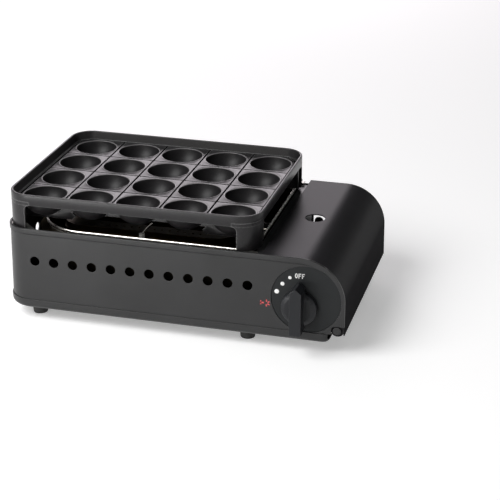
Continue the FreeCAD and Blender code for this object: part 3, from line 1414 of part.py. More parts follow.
def bend(x, y, z, axis, turn):
    """A quarter bend of the gas pipe about a centre; `turn` swings it about its own axis."""
    ring = doc.addObject("Part::Torus", "Bend")
    ring.Angle3 = 90
    bind(ring, Radius1="pipe_bend", Radius2="pipe_radius")
    ring.Placement = FreeCAD.Placement(V(), TURNS[axis].multiply(FreeCAD.Rotation(V(0, 0, 1), turn)))
    return put(ring, x, y, z)


def gas_pipe():
    """From the top of the valve up, to the left, then back to the nozzle holder."""
    high = "seam_height"
    bend_start = "seam_height - pipe_bend"
    riser = rod("Z", "pipe_rise_side", "valve_line", "valve_top - 4", "pipe_radius",
                minus(bend_start, "valve_top - 4"))
    first = bend("pipe_rise_side - pipe_bend", "valve_line", bend_start, "Y", 270)
    across = rod("X", "pipe_side + pipe_bend", "valve_line", high, "pipe_radius",
                 "pipe_rise_side - pipe_side - pipe_bend * 2")
    second = bend("pipe_side + pipe_bend", "valve_line + pipe_bend", high, "Z", 180)
    back = rod("Y", "pipe_side", "valve_line + pipe_bend", high, "pipe_radius",
               minus("middle", "nozzle_radius * 0.5", "valve_line + pipe_bend"))
    shapes = join(riser, first, across, second, back)
    return node("gas_pipe", cut(shapes, rod("X", "pipe_side - 10", "middle", high, "nozzle_radius", "20")))


def gas_nozzle():
    """Brass holder and jet, pointing into the mouth of the mixing tube."""
    high = "seam_height"
    holder = rod("X", "pipe_side - nozzle_length / 2", "middle", high, "nozzle_radius", "nozzle_length")
    jet = taper("X", minus("pipe_side", "nozzle_length / 2", "jet_length"), "middle", high, "jet_radius / 2",
                "jet_radius", "jet_length + 0.1")
    return node("gas_nozzle", join(holder, jet))


# ---------------------------------------------------------------- build, check and write

fill_sheets()
for make in (base_pan, rubber_feet, foot_screws, pan_screws, body_shell, shell_brackets, cartridge_cover,
             hinge_pins, hinge_brackets, partition, drip_tray, tray_supports, tray_screws, plate_rests,
             takoyaki_plate, burner_upper, burner_lower, mixing_tube, tube_bracket, burner_brackets,
             burner_screws, spark_electrode, insulator, electrode_bracket, dial_plate, knob, spindle,
             ignition_cam, igniter_body, igniter_plunger, valve_bracket, valve_body, valve_screws,
             governor_cap, governor_screws, cartridge_connector, cartridge_seat, cartridge_magnets,
             cartridge_rails, gas_pipe, gas_nozzle):
    make()
doc.recompute()

for thing in doc.Objects:
    if {"Invalid", "Error"} & set(thing.State):
        raise RuntimeError("%s (%s): %s" % (thing.Label, thing.Name, thing.State))
for part in NODES:
    if part.Shape.isNull() or not part.Shape.isValid() or not part.Shape.Solids:
        raise RuntimeError("%s has no valid solid" % part.Label)

os.makedirs("parts", exist_ok=True)
for part in NODES:
    part.Shape.exportStep("parts/%s.step" % part.Label)
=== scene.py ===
"""Looks of the table-top takoyaki cooker: its finishes, its detailed shells and its studio.

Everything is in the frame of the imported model: +X right, +Y back, +Z up. Sizes of shapes are written in
millimetres and made metres by MM; the studio's places and the shader groups' values are in metres.
"""

import json
import math

import bmesh
import bpy
from mathutils import Matrix, Vector


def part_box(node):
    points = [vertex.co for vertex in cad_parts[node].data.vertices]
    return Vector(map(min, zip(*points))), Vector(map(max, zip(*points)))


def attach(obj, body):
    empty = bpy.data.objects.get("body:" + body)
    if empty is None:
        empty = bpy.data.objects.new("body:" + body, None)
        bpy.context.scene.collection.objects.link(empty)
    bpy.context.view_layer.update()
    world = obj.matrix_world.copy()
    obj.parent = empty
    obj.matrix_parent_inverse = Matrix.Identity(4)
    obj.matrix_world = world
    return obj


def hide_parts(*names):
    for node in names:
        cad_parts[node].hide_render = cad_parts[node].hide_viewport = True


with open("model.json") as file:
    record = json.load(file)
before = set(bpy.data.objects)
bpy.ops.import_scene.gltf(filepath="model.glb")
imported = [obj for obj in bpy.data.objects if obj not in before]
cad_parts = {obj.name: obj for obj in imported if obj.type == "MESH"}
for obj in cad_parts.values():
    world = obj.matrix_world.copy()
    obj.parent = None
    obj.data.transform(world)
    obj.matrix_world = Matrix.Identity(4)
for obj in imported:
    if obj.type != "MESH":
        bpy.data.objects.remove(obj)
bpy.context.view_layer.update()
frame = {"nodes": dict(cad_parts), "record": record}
NODES = frame["nodes"]
SLOT_OF = {part["node"]: part["material_slot"] for part in frame["record"]["subparts"]}
MM = 0.001
MICRON = 0.000001

# ---------------------------------------------------------------- shader helpers

EDGE_STARTS, EDGE_FULL = 0.997, 0.9     # how alike the true and the softened normal are at an edge
COAT_CLOUDS = 18.0                      # cells per metre of the slow variation in a coat
COAT_CONTRAST = 2.2
METAL_CONTRAST = 1.8
COLOUR_A, COLOUR_B, COLOUR_OUT = 6, 7, 2    # the colour sockets of a Mix node


def feed(tree, socket, value):
    """Link a socket to another one, or set its value; a colour is written as three numbers."""
    if isinstance(value, bpy.types.NodeSocket):
        tree.links.new(value, socket)
    elif socket.type == "RGBA":
        socket.default_value = (*value, 1.0)
    else:
        socket.default_value = value


def feed_named(tree, sockets, values):
    for name, value in values.items():
        feed(tree, sockets[name.replace("_", " ")], value)


def add(tree, kind, *ordered, **settings):
    """A node; ordered feed its first inputs, capitalised names other inputs, and the rest are properties."""
    made = tree.nodes.new(kind)
    for name, value in settings.items():
        if name[0].islower():
            setattr(made, name, value)
    for socket, value in zip(made.inputs, ordered):
        feed(tree, socket, value)
    feed_named(tree, made.inputs, {name: value for name, value in settings.items() if name[0].isupper()})
    return made


def grey(level):
    return (level, level, level)


def group(name, inputs, outputs):
    """An empty shader node group of number or vector inputs, with their first values, and number outputs."""
    tree = bpy.data.node_groups.new(name, "ShaderNodeTree")
    for label, value in inputs.items():
        kind = "NodeSocketVector" if isinstance(value, tuple) else "NodeSocketFloat"
        tree.interface.new_socket(label, in_out="INPUT", socket_type=kind).default_value = value
    for label in outputs:
        tree.interface.new_socket(label, in_out="OUTPUT", socket_type="NodeSocketFloat")
    return tree, tree.nodes.new("NodeGroupInput").outputs, tree.nodes.new("NodeGroupOutput").inputs


def object_place(tree):
    """The place of a point of the surface, in the object's own frame."""
    return add(tree, "ShaderNodeTexCoord").outputs["Object"]


def grain_group():
    """Fine cast or sprayed grain: a height and a mask of its brighter specks."""
    tree, given, out = group("fine_grain", {"Cells per metre": 2500.0, "Speck share": 0.3},
                             ("Height", "Specks"))
    place, scale = object_place(tree), given["Cells per metre"]
    fine = add(tree, "ShaderNodeTexNoise", Vector=place, Scale=scale, Detail=3.0)
    cells = add(tree, "ShaderNodeTexVoronoi", Vector=place, Scale=scale)
    split = add(tree, "ShaderNodeSeparateColor", Color=cells.outputs["Color"])
    specks = add(tree, "ShaderNodeMath", split.outputs["Red"], given["Speck share"], operation="LESS_THAN")
    feed(tree, out["Height"], fine.outputs["Fac"])
    feed(tree, out["Specks"], specks.outputs[0])
    return tree


def smudge_group():
    """Slow, uneven variation over a surface, from 0 to 1."""
    tree, given, out = group("slow_variation", {"Cells per metre": 20.0, "Contrast": 1.0}, ("Mask",))
    noise = add(tree, "ShaderNodeTexNoise", Vector=object_place(tree), Scale=given["Cells per metre"],
                Detail=5.0, Roughness=0.6, Distortion=0.4)
    centred = add(tree, "ShaderNodeMath", noise.outputs["Fac"], 0.5, operation="SUBTRACT")
    wide = add(tree, "ShaderNodeMath", centred.outputs[0], given["Contrast"], 0.5,
               operation="MULTIPLY_ADD", use_clamp=True)
    feed(tree, out["Mask"], wide.outputs[0])
    return tree


def edge_highlight_group():
    """Painted highlight on thin edges: 1 on sharp convex corners, broken up by noise."""
    tree, given, out = group("painted_edge_highlight", {"Radius": 0.0006, "Break up": 600.0}, ("Mask",))
    true_normal = add(tree, "ShaderNodeNewGeometry").outputs["Normal"]
    soft = add(tree, "ShaderNodeBevel", samples=4, Radius=given["Radius"])
    alike = add(tree, "ShaderNodeVectorMath", true_normal, soft.outputs[0], operation="DOT_PRODUCT")
    edge = add(tree, "ShaderNodeMapRange", Value=alike.outputs["Value"], From_Min=EDGE_STARTS,
               From_Max=EDGE_FULL)
    noise = add(tree, "ShaderNodeTexNoise", Vector=object_place(tree), Scale=given["Break up"], Detail=4.0)
    broken = add(tree, "ShaderNodeMath", edge.outputs[0], noise.outputs["Fac"], operation="MULTIPLY",
                 use_clamp=True)
    feed(tree, out["Mask"], broken.outputs[0])
    return tree


def brush_group():
    """Brushed or rolled streaks: noise drawn out along one axis by its stretch."""
    tree, given, out = group("brushed_streaks", {"Stretch": (20.0, 800.0, 800.0)}, ("Height",))
    drawn = add(tree, "ShaderNodeVectorMath", object_place(tree), given["Stretch"], operation="MULTIPLY")
    noise = add(tree, "ShaderNodeTexNoise", Vector=drawn.outputs[0], Scale=1.0, Detail=4.0, Roughness=0.65)
    feed(tree, out["Height"], noise.outputs["Fac"])
    return tree


GRAIN = grain_group()
SMUDGE = smudge_group()
EDGE_HIGHLIGHT = edge_highlight_group()
BRUSH = brush_group()


def effect(tree, shared, **inputs):
    """The outputs of one of the shared effects, placed in a material with its own values."""
    return add(tree, "ShaderNodeGroup", node_tree=shared, **inputs).outputs


def mixed(tree, mask, low, high):
    """A colour between two, by a mask."""
    blend = add(tree, "ShaderNodeMix", data_type="RGBA", Factor=mask)
    feed(tree, blend.inputs[COLOUR_A], low)
    feed(tree, blend.inputs[COLOUR_B], high)
    return blend.outputs[COLOUR_OUT]


def ranged(tree, mask, low, high):
    """A number between two, by a mask."""
    return add(tree, "ShaderNodeMapRange", Value=mask, To_Min=low, To_Max=high).outputs[0]


def by_height(tree, low, high, first=0.0, last=1.0):
    """A number that runs from first to last between two heights in millimetres."""
    place = add(tree, "ShaderNodeSeparateXYZ", Vector=object_place(tree))
    return add(tree, "ShaderNodeMapRange", Value=place.outputs["Z"], From_Min=low * MM, From_Max=high * MM,
               To_Min=first, To_Max=last).outputs[0]


def bump(tree, height, depth):
    """A bump of a depth in metres."""
    return add(tree, "ShaderNodeBump", Height=height, Distance=depth, Strength=1.0).outputs[0]


def material(name, **uniform):
    """A material, its tree and its Principled shader's inputs; uniform values go on those sockets."""
    made = bpy.data.materials.new(name)
    made.use_nodes = True
    shader = made.node_tree.nodes["Principled BSDF"].inputs
    feed_named(made.node_tree, shader, uniform)
    return made, made.node_tree, shader


def coated(name, dark, light, rough, grain, depth, edge=None, edge_radius=0.0006, speck=None, gloss=None,
           **uniform):
    """A sprayed, moulded or cast finish.

    dark and light are its two tones, rough its two roughnesses, grain its cells per metre and depth
    their height; edge is the tone painted on thin edges as a highlight and speck the tone of its fine
    specks. gloss is a pair of heights and the pair of coat weights that the coat has at them.
    """
    made, tree, shader = material(name, **uniform)
    clouds = effect(tree, SMUDGE, Cells_per_metre=COAT_CLOUDS, Contrast=COAT_CONTRAST)["Mask"]
    fine = effect(tree, GRAIN, Cells_per_metre=grain)
    colour = mixed(tree, clouds, dark, light)
    if speck:
        colour = mixed(tree, fine["Specks"], colour, speck)
    # a lighter tone painted on thin edges as a highlight
    if edge:
        colour = mixed(tree, effect(tree, EDGE_HIGHLIGHT, Radius=edge_radius)["Mask"], colour, edge)
    feed(tree, shader["Base Color"], colour)
    feed(tree, shader["Roughness"], ranged(tree, clouds, *rough))
    feed(tree, shader["Normal"], bump(tree, fine["Height"], depth))
    if gloss:
        heights, weights = gloss
        feed(tree, shader["Coat Weight"], by_height(tree, *heights, *weights))
    return made


def drawn_metal(name, dark, light, rough, stretch, depth, stains=30.0):
    """Rolled, drawn or brushed metal: streaks in its height and roughness, slow stains in its tone."""
    made, tree, shader = material(name, Metallic=1.0)
    streaks = effect(tree, BRUSH, Stretch=stretch)["Height"]
    slow = effect(tree, SMUDGE, Cells_per_metre=stains, Contrast=METAL_CONTRAST)["Mask"]
    feed(tree, shader["Base Color"], mixed(tree, slow, dark, light))
    feed(tree, shader["Roughness"], ranged(tree, streaks, *rough))
    feed(tree, shader["Normal"], bump(tree, streaks, depth))
    return made


# ---------------------------------------------------------------- finishes

TRAY_SHADED_BELOW, TRAY_BRIGHT_ABOVE = 91.5, 93.0    # heights of the basin, painted dark as shade with a brown tint, and of the bright rim
TRAY_BASIN_SHADE = ((0.014, 0.012, 0.009), (0.034, 0.028, 0.021))
TRAY_BRIGHT = ((0.80, 0.77, 0.72), (0.92, 0.89, 0.84))
TRAY_ROUGH = (0.2, 0.36)


def tray_steel():
    """Bright rolled rim over a basin painted near black as shade, over a brown heat tint."""
    made, tree, shader = material("tray_steel_with_painted_basin_shade", Specular_IOR_Level=0.0)
    streaks = effect(tree, BRUSH, Stretch=(30.0, 700.0, 700.0))["Height"]
    slow = effect(tree, SMUDGE, Cells_per_metre=30.0, Contrast=METAL_CONTRAST)["Mask"]
    # the basin is painted near black as shade under the plate, over a brown heat tint
    basin_shade, bright = [mixed(tree, slow, *tones) for tones in (TRAY_BASIN_SHADE, TRAY_BRIGHT)]
    rim = by_height(tree, TRAY_SHADED_BELOW, TRAY_BRIGHT_ABOVE)
    feed(tree, shader["Base Color"], mixed(tree, rim, basin_shade, bright))
    feed(tree, shader["Metallic"], rim)
    feed(tree, shader["Roughness"], ranged(tree, streaks, *TRAY_ROUGH))
    feed(tree, shader["Normal"], bump(tree, streaks, 6 * MICRON))
    return made


# the edge tones of these finishes are painted highlights on thin edges
SATIN_BLACK = coated("satin_black_paint", (0.0228, 0.0229, 0.0232), (0.029, 0.0291, 0.0298),
                     rough=(0.34, 0.42), grain=1400, depth=12 * MICRON, edge=grey(0.08),
                     Specular_IOR_Level=0.3)
COVER_BLACK = coated("satin_cover_paint", (0.015, 0.0145, 0.016), (0.020, 0.019, 0.021),
                     rough=(0.5, 0.6), grain=1400, depth=10 * MICRON, edge=grey(0.05),
                     gloss=((58.0, 90.0), (0.05, 0.33)), Specular_IOR_Level=0.0, Coat_Roughness=0.33)
CAST_BLACK = coated("coated_casting", (0.0085, 0.0080, 0.0088), (0.0125, 0.0117, 0.0127),
                    rough=(0.30, 0.37), grain=2600, depth=10 * MICRON, edge=grey(0.30),
                    edge_radius=0.0011, speck=(0.020, 0.0185, 0.0198), Specular_IOR_Level=0.32)
DIAL_BLACK = coated("dial_paint", (0.0105, 0.0117, 0.0125), (0.0145, 0.0158, 0.0166),
                    rough=(0.42, 0.5), grain=1800, depth=10 * MICRON, Specular_IOR_Level=0.22)
KNOB_BLACK = coated("moulded_knob", (0.0095, 0.0102, 0.0122), (0.0135, 0.0142, 0.0164),
                    rough=(0.30, 0.38), grain=2600, depth=10 * MICRON, edge=grey(0.09),
                    Specular_IOR_Level=0.28)
RUBBER = coated("foot_rubber", (0.012, 0.012, 0.012), (0.022, 0.021, 0.020),
                rough=(0.6, 0.8), grain=1800, depth=30 * MICRON, edge=grey(0.04))
ZINC = drawn_metal("zinc_plated", (0.42, 0.42, 0.40), (0.58, 0.57, 0.53),
                   rough=(0.3, 0.5), stretch=(60.0, 400.0, 400.0), depth=8 * MICRON, stains=60.0)
CHROME = drawn_metal("bright_steel", (0.66, 0.63, 0.58), (0.80, 0.77, 0.71),
                     rough=(0.1, 0.24), stretch=(12.0, 900.0, 900.0), depth=6 * MICRON)
BURNER_STEEL = drawn_metal("heat_tinted_steel", (0.075, 0.052, 0.032), (0.17, 0.132, 0.085),
                           rough=(0.28, 0.44), stretch=(40.0, 500.0, 500.0), depth=10 * MICRON, stains=40.0)
BRASS = drawn_metal("turned_brass", (0.62, 0.42, 0.16), (0.78, 0.58, 0.28),
                    rough=(0.22, 0.36), stretch=(900.0, 30.0, 900.0), depth=6 * MICRON)
DIE_CAST = coated("zinc_casting", (0.36, 0.36, 0.35), (0.48, 0.48, 0.46),
                  rough=(0.4, 0.55), grain=900, depth=30 * MICRON, Metallic=1.0)
CERAMIC = coated("white_ceramic", (0.78, 0.76, 0.71), (0.86, 0.85, 0.81),
                 rough=(0.12, 0.2), grain=500, depth=5 * MICRON)
IGNITER_PLASTIC = coated("igniter_moulding", (0.02, 0.02, 0.022), (0.03, 0.03, 0.033),
                         rough=(0.3, 0.4), grain=2000, depth=10 * MICRON)
FERRITE = coated("ferrite_magnet", (0.035, 0.035, 0.037), (0.06, 0.06, 0.062),
                 rough=(0.45, 0.6), grain=1500, depth=20 * MICRON, Metallic=0.4)
WHITE_PRINT = coated("white_print", (0.80, 0.80, 0.79), (0.88, 0.88, 0.87),
                     rough=(0.4, 0.5), grain=1500, depth=4 * MICRON)
RED_PRINT = coated("red_print", (0.46, 0.055, 0.06), (0.56, 0.085, 0.09),
                   rough=(0.4, 0.5), grain=1500, depth=4 * MICRON)
TRAY_STEEL = tray_steel()

LIP_HIGHLIGHT, DULL_BOWL, GROOVE_SHADE = "painted_lip_highlight", "dull_bowl", "painted_groove_shade"
# cup lips painted lighter, as a highlight
LIP_HIGHLIGHT_TONE = (0.190, 0.182, 0.187)
# near black painted into the grooves, as shade
GROOVE_SHADE_TONE = grey(0.004)
BOWL_ROUGH = 0.46
GROOVE_ROUGH = 0.95


def mark_casting(casting):
    """Cup lips painted lighter as a highlight, dull bowls, and grooves painted dark as shade, by the plate's
    own attributes.
    """
    tree = casting.node_tree
    shader = tree.nodes["Principled BSDF"].inputs
    lip, bowl, crease_shade = [add(tree, "ShaderNodeAttribute", attribute_name=name).outputs["Fac"]
                       for name in (LIP_HIGHLIGHT, DULL_BOWL, GROOVE_SHADE)]
    plain, rough = [shader[label].links[0].from_socket for label in ("Base Color", "Roughness")]
    feed(tree, shader["Base Color"], mixed(tree, crease_shade, mixed(tree, lip, plain, LIP_HIGHLIGHT_TONE), GROOVE_SHADE_TONE))
    feed(tree, shader["Roughness"], ranged(tree, crease_shade, ranged(tree, bowl, rough, BOWL_ROUGH), GROOVE_ROUGH))


mark_casting(CAST_BLACK)

FINISH = {
    "body_paint": SATIN_BLACK,
    "cover_paint": COVER_BLACK,
    "plate_iron": CAST_BLACK,
    "foot_rubber": RUBBER,
    "zinc_steel": ZINC,
    "bright_chrome": CHROME,
    "burner_steel": BURNER_STEEL,
    "gas_brass": BRASS,
    "knob_plastic": KNOB_BLACK,
    "dial_paint": DIAL_BLACK,
    "valve_casting": DIE_CAST,
    "insulator_ceramic": CERAMIC,
    "igniter_plastic": IGNITER_PLASTIC,
    "magnet_ferrite": FERRITE,
}


def wear(data, finish):
    """Give a mesh one material."""
    data.materials.clear()
    data.materials.append(finish)


for packed, packed_slot in SLOT_OF.items():
    wear(NODES[packed].data, FINISH[packed_slot])

# ---------------------------------------------------------------- mesh helpers

SHARP = 30.0        # edges that turn by more than this many degrees are rounded
FLAT = 0.5          # faces that turn by less than this many degrees are one
MERGE = 0.002       # points this close are one
FINE_MERGE = 0.0005
CAD_MERGE = 0.001


def next_of(ring):
    """The ring moved on by one."""
    return ring[1:] + ring[:1]


def quads(first, second):
    """The corners of the faces between two closed rings of equal length."""
    return zip(first, next_of(first), next_of(second), second)


class Skin:
    """Points, in millimetres, and faces of a mesh while it is being made."""

    def __init__(self):
        self.points = []
        self.faces = []

    def ring(self, points):
        start = len(self.points)
        self.points += [tuple(point) for point in points]
        return list(range(start, len(self.points)))

    def loft(self, rings, closed_ends=False):
        """Faces from each ring of points to the next."""
        made = [self.ring(points) for points in rings]
        for first, second in zip(made, made[1:]):
            self.faces += quads(first, second)
        if closed_ends:
            self.faces += [tuple(reversed(made[0])), tuple(made[-1])]
        return made

    def fan(self, ring, centre):
        """Close a ring with triangles to a centre point."""
        hub, = self.ring([centre])
        self.faces += [(here, onward, hub) for here, onward in zip(ring, next_of(ring))]

    def mesh(self, name):
        data = bpy.data.meshes.new(name)
        data.from_pydata([[value * MM for value in point] for point in self.points], [], self.faces)
        return data


def opened(data):
    """A working mesh from a mesh."""
    work = bmesh.new()
    work.from_mesh(data)
    return work


def closed(work, data):
    """Write a working mesh to a mesh, which may be a name for a new one, and free it."""
    if isinstance(data, str):
        data = bpy.data.meshes.new(data)
    work.to_mesh(data)
    work.free()
    return data


def tidy_mesh(data, smooth_below, merge=MERGE):
    """Merge doubles, turn every shell outwards and shade smooth below an angle."""
    work = opened(data)
    bmesh.ops.remove_doubles(work, verts=work.verts, dist=merge * MM)
    bmesh.ops.recalc_face_normals(work, faces=work.faces)
    closed(work, data)
    data.shade_smooth()
    data.set_sharp_from_angle(angle=math.radians(smooth_below))
    return data


def placed(name, data):
    """A new object in the scene."""
    made = bpy.data.objects.new(name, data)
    bpy.context.scene.collection.objects.link(made)
    return made


def applied(holder):
    """A plain mesh of the object with its modifiers applied."""
    bpy.context.view_layer.update()
    return bpy.data.meshes.new_from_object(holder.evaluated_get(bpy.context.evaluated_depsgraph_get()))


def piece(name, data, body, finish, node=None):
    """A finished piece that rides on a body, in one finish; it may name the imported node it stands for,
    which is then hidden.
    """
    made = placed(name, data)
    wear(data, finish)
    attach(made, body)
    if node:
        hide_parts(node)
    return made


def box_of(node):
    """Lowest and highest corner of a node in millimetres."""
    return [[value / MM for value in corner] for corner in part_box(node)]


def merged_copy(node):
    """A node's triangles as one joined mesh without the lines across its flat faces."""
    work = opened(NODES[node].data)
    bmesh.ops.remove_doubles(work, verts=work.verts, dist=CAD_MERGE * MM)
    bmesh.ops.dissolve_limit(work, angle_limit=math.radians(FLAT), verts=work.verts, edges=work.edges)
    return work


def round_sharp_edges(work, radius, wanted=None, segments=2):
    """Round the sharp edges that `wanted` picks, by a radius in millimetres."""
    edges = [edge for edge in work.edges
             if len(edge.link_faces) == 2 and edge.calc_face_angle(0.0) > math.radians(SHARP)
             and (wanted is None or wanted(edge))]
    bmesh.ops.bevel(work, geom=edges, offset=radius * MM, offset_type="OFFSET", segments=segments,
                    profile=0.5, affect="EDGES", clamp_overlap=False)


def evenly_shaded(data):
    """The same mesh with normals that leave large flat faces flat beside their rounded edges."""
    holder = placed("shading", data)
    holder.modifiers.new("even", "WEIGHTED_NORMAL").keep_sharp = True
    shaded = applied(holder)
    bpy.data.objects.remove(holder)
    return shaded


def softened(node, name, body, *passes, finish=None):
    """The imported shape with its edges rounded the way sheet, castings and mouldings are."""
    work = merged_copy(node)
    for radius, *picked in passes:
        round_sharp_edges(work, radius, *picked)
    data = evenly_shaded(tidy_mesh(closed(work, name), 32.0, FINE_MERGE))
    slot = SLOT_OF[node]
    return piece(name, data, body, finish or FINISH[slot], node)


def above(height):
    """Picks edges wholly above a height in millimetres."""
    return lambda edge: min(vert.co.z for vert in edge.verts) > height * MM


def below(height):
    """Picks the edges that above() leaves."""
    keep = above(height)
    return lambda edge: not keep(edge)


def between(low, high):
    return lambda edge: all(low * MM < vert.co.z < high * MM for vert in edge.verts)


def outer_above(height):
    """Picks outward corners wholly above a height."""
    keep = above(height)
    return lambda edge: edge.is_convex and keep(edge)


def repeated(name, cell, places, finish, turn=(0.0, 0.0, 0.0)):
    """One shape set at every place by Geometry Nodes, as one plain mesh.

    cell is the mesh that repeats, places are points in millimetres and turn is in radians.
    """
    tree = bpy.data.node_groups.new(name, "GeometryNodeTree")
    tree.interface.new_socket("Places", in_out="INPUT", socket_type="NodeSocketGeometry")
    inputs = {}
    for label, kind in (("Cell", "Object"), ("Turn", "Vector"), ("Size", "Float"), ("Finish", "Material")):
        socket = tree.interface.new_socket(label, in_out="INPUT", socket_type="NodeSocket" + kind)
        inputs[label] = socket.identifier
    tree.interface.new_socket("Result", in_out="OUTPUT", socket_type="NodeSocketGeometry")
    given = tree.nodes.new("NodeGroupInput").outputs
    shape = add(tree, "GeometryNodeObjectInfo", Object=given["Cell"])
    spread = add(tree, "GeometryNodeInstanceOnPoints", Points=given["Places"],
                 Instance=shape.outputs["Geometry"], Rotation=given["Turn"], Scale=given["Size"])
    real = add(tree, "GeometryNodeRealizeInstances", spread.outputs[0])
    dressed = add(tree, "GeometryNodeSetMaterial", Geometry=real.outputs[0], Material=given["Finish"])
    add(tree, "NodeGroupOutput", dressed.outputs[0])

    points = bpy.data.meshes.new(name + "_places")
    points.from_pydata([[value * MM for value in place] for place in places], [], [])
    holder, source = placed(name + "_places", points), placed(name + "_cell", cell)
    spreader = holder.modifiers.new("repeat", "NODES")
    spreader.node_group = tree
    for label, value in {"Cell": source, "Turn": turn, "Size": 1.0, "Finish": finish}.items():
        spreader[inputs[label]] = value
    data = applied(holder)
    for thing in (holder, source):
        bpy.data.objects.remove(thing)
    return data


# ---------------------------------------------------------------- cooking plate

(PLATE_LEFT, PLATE_FRONT, LEG_END), (PLATE_RIGHT, PLATE_BACK, RIM_TOP) = box_of("takoyaki_plate")
PLATE_SIDE = (PLATE_LEFT + PLATE_RIGHT) / 2
PLATE_MIDDLE = (PLATE_FRONT + PLATE_BACK) / 2
PLATE_HALF = ((PLATE_RIGHT - PLATE_LEFT) / 2, (PLATE_BACK - PLATE_FRONT) / 2)
RIM_HEIGHT = 8.6
RIM_WALL = 3.0
RIM_FOOT = 1.1                          # how far the inner wall leans in towards its foot
RIM_DRAFT = 0.6                         # how far it leans out towards its top
PLATE_ROUND = 22.5
SURFACE = RIM_TOP - RIM_HEIGHT
DECK = 2.6
CUPS = (5, 4)                           # across and deep
CUP_PITCH = 48.45
CUP_HALF = CUP_PITCH / 2
CUP_MOUTH = 21.45
CUP_DEPTH = 19.0
CUP_WALL = 2.2
CUP_BALL = (CUP_MOUTH ** 2 + CUP_DEPTH ** 2) / (2 * CUP_DEPTH)
BALL_ABOVE = CUP_BALL - CUP_DEPTH       # centre of the cup's ball above the cooking surface
LIP_ROUND = 0.85                        # rounded lip around each cup
LIP_RAISE = 0.22                        # lip above the cooking surface
LIP_LAND = 0.67                         # lip runs out to the surface over this width
GROOVE_HALF = 0.85                      # half width of the grooves between the cups
GROOVE_DEEP = 1.0
GROOVE_EDGE = 0.2                       # rounded edge of a groove
BORDER_DEEP = 1.5                       # groove around all the cups
BLOCK_ROUND = 17.0                      # corner of the border groove around all the cups
RAYS = 48                               # points around one cup
BOWL_RINGS = 12
BACK_RINGS = 9
LIP_RINGS = 5
QUARTER = [math.pi / 2 * k / 4 for k in range(5)]   # turns of a quarter circle


def row_places(count):
    """Middles of the cups along a row, from the middle of the plate."""
    return [CUP_PITCH * (k - (count - 1) / 2) for k in range(count)]


def cup_places():
    """The cups' middles, from the middle of the plate."""
    return [(x, y) for y in row_places(CUPS[1]) for x in row_places(CUPS[0])]


def circle(radius, height, count=RAYS):
    turns = [2 * math.pi * k / count for k in range(count)]
    return [(radius * math.cos(turn), radius * math.sin(turn), height) for turn in turns]


def ball_rings(radius, end, count):
    """Circles up a cup's ball, from near its lowest point to a tilt."""
    tilts = [end * k / count for k in range(1, count + 1)]
    return [circle(radius * math.sin(tilt), BALL_ABOVE - radius * math.cos(tilt)) for tilt in tilts]


def onto_round_corner(x, y, half, radius, corner):
    """Move a point of a square onto its rounded corner (signs in x and y), if it lies there."""
    if not corner:
        return x, y
    core = Vector((corner[0] * (half - radius), corner[1] * (half - radius)))
    way = Vector((x, y)) - core
    if way.x * corner[0] <= 0 or way.y * corner[1] <= 0:
        return x, y
    return tuple(core + way.normalized() * radius)


def cell_edge(inset, height, corner):
    """The outline of one cup's share of the deck, moved inwards."""
    half = CUP_HALF - inset
    points = []
    for u, v, _ in circle(1.0, 0.0):
        reach = max(abs(u), abs(v))
        x, y = onto_round_corner(u / reach * half, v / reach * half, half, BLOCK_ROUND - inset, corner)
        points.append((x, y, height))
    return points


def cup_cell(corner=None):
    """One cup with its share of the deck: the cooking side and the underside; heights from the surface."""
    skin = Skin()
    end = math.acos((BALL_ABOVE + LIP_ROUND - LIP_RAISE) / CUP_BALL)
    rings = ball_rings(CUP_BALL, end, BOWL_RINGS)
    lip_centre = CUP_BALL * math.sin(end) + LIP_ROUND
    for k in range(1, LIP_RINGS + 1):
        turn = math.pi * (1 - k / (2 * LIP_RINGS))
        rings.append(circle(lip_centre + LIP_ROUND * math.cos(turn),
                            LIP_RAISE - LIP_ROUND + LIP_ROUND * math.sin(turn)))
    rings.append(circle(lip_centre + LIP_LAND * 0.7, LIP_RAISE * 0.4))
    rings.append(circle(lip_centre + LIP_LAND, 0.0))
    for back, drop in ((GROOVE_EDGE, 0.0), (GROOVE_EDGE * 0.3, GROOVE_EDGE * 0.6),
                       (0.0, GROOVE_DEEP * 0.3), (-GROOVE_EDGE, GROOVE_DEEP * 0.7)):
        rings.append(cell_edge(GROOVE_HALF + back, -drop, corner))
    rings.append(cell_edge(0.0, -GROOVE_DEEP, corner))
    top = skin.loft(rings)
    skin.fan(top[0], (0.0, 0.0, -CUP_DEPTH))

    outer = CUP_BALL + CUP_WALL
    rings = ball_rings(outer, math.acos((BALL_ABOVE + DECK) / outer), BACK_RINGS)
    under = skin.loft(rings + [cell_edge(0.0, -DECK, corner)])
    skin.fan(under[0], (0.0, 0.0, BALL_ABOVE - outer))
    return skin


def plate_outline(points, grow, radius, height):
    """Points of the cup block's border moved out to a larger rounded rectangle around it."""
    block = [CUP_HALF * count for count in CUPS]
    made = []
    for point in points:
        core = [max(min(value, half - BLOCK_ROUND), BLOCK_ROUND - half) for value, half in zip(point, block)]
        way = Vector((point[0] - core[0], point[1] - core[1])).normalized()
        new_core = [value * (half + more - radius) / (half - BLOCK_ROUND)
                    for value, half, more in zip(core, block, grow)]
        made.append((new_core[0] + way.x * radius, new_core[1] + way.y * radius, height))
    return made


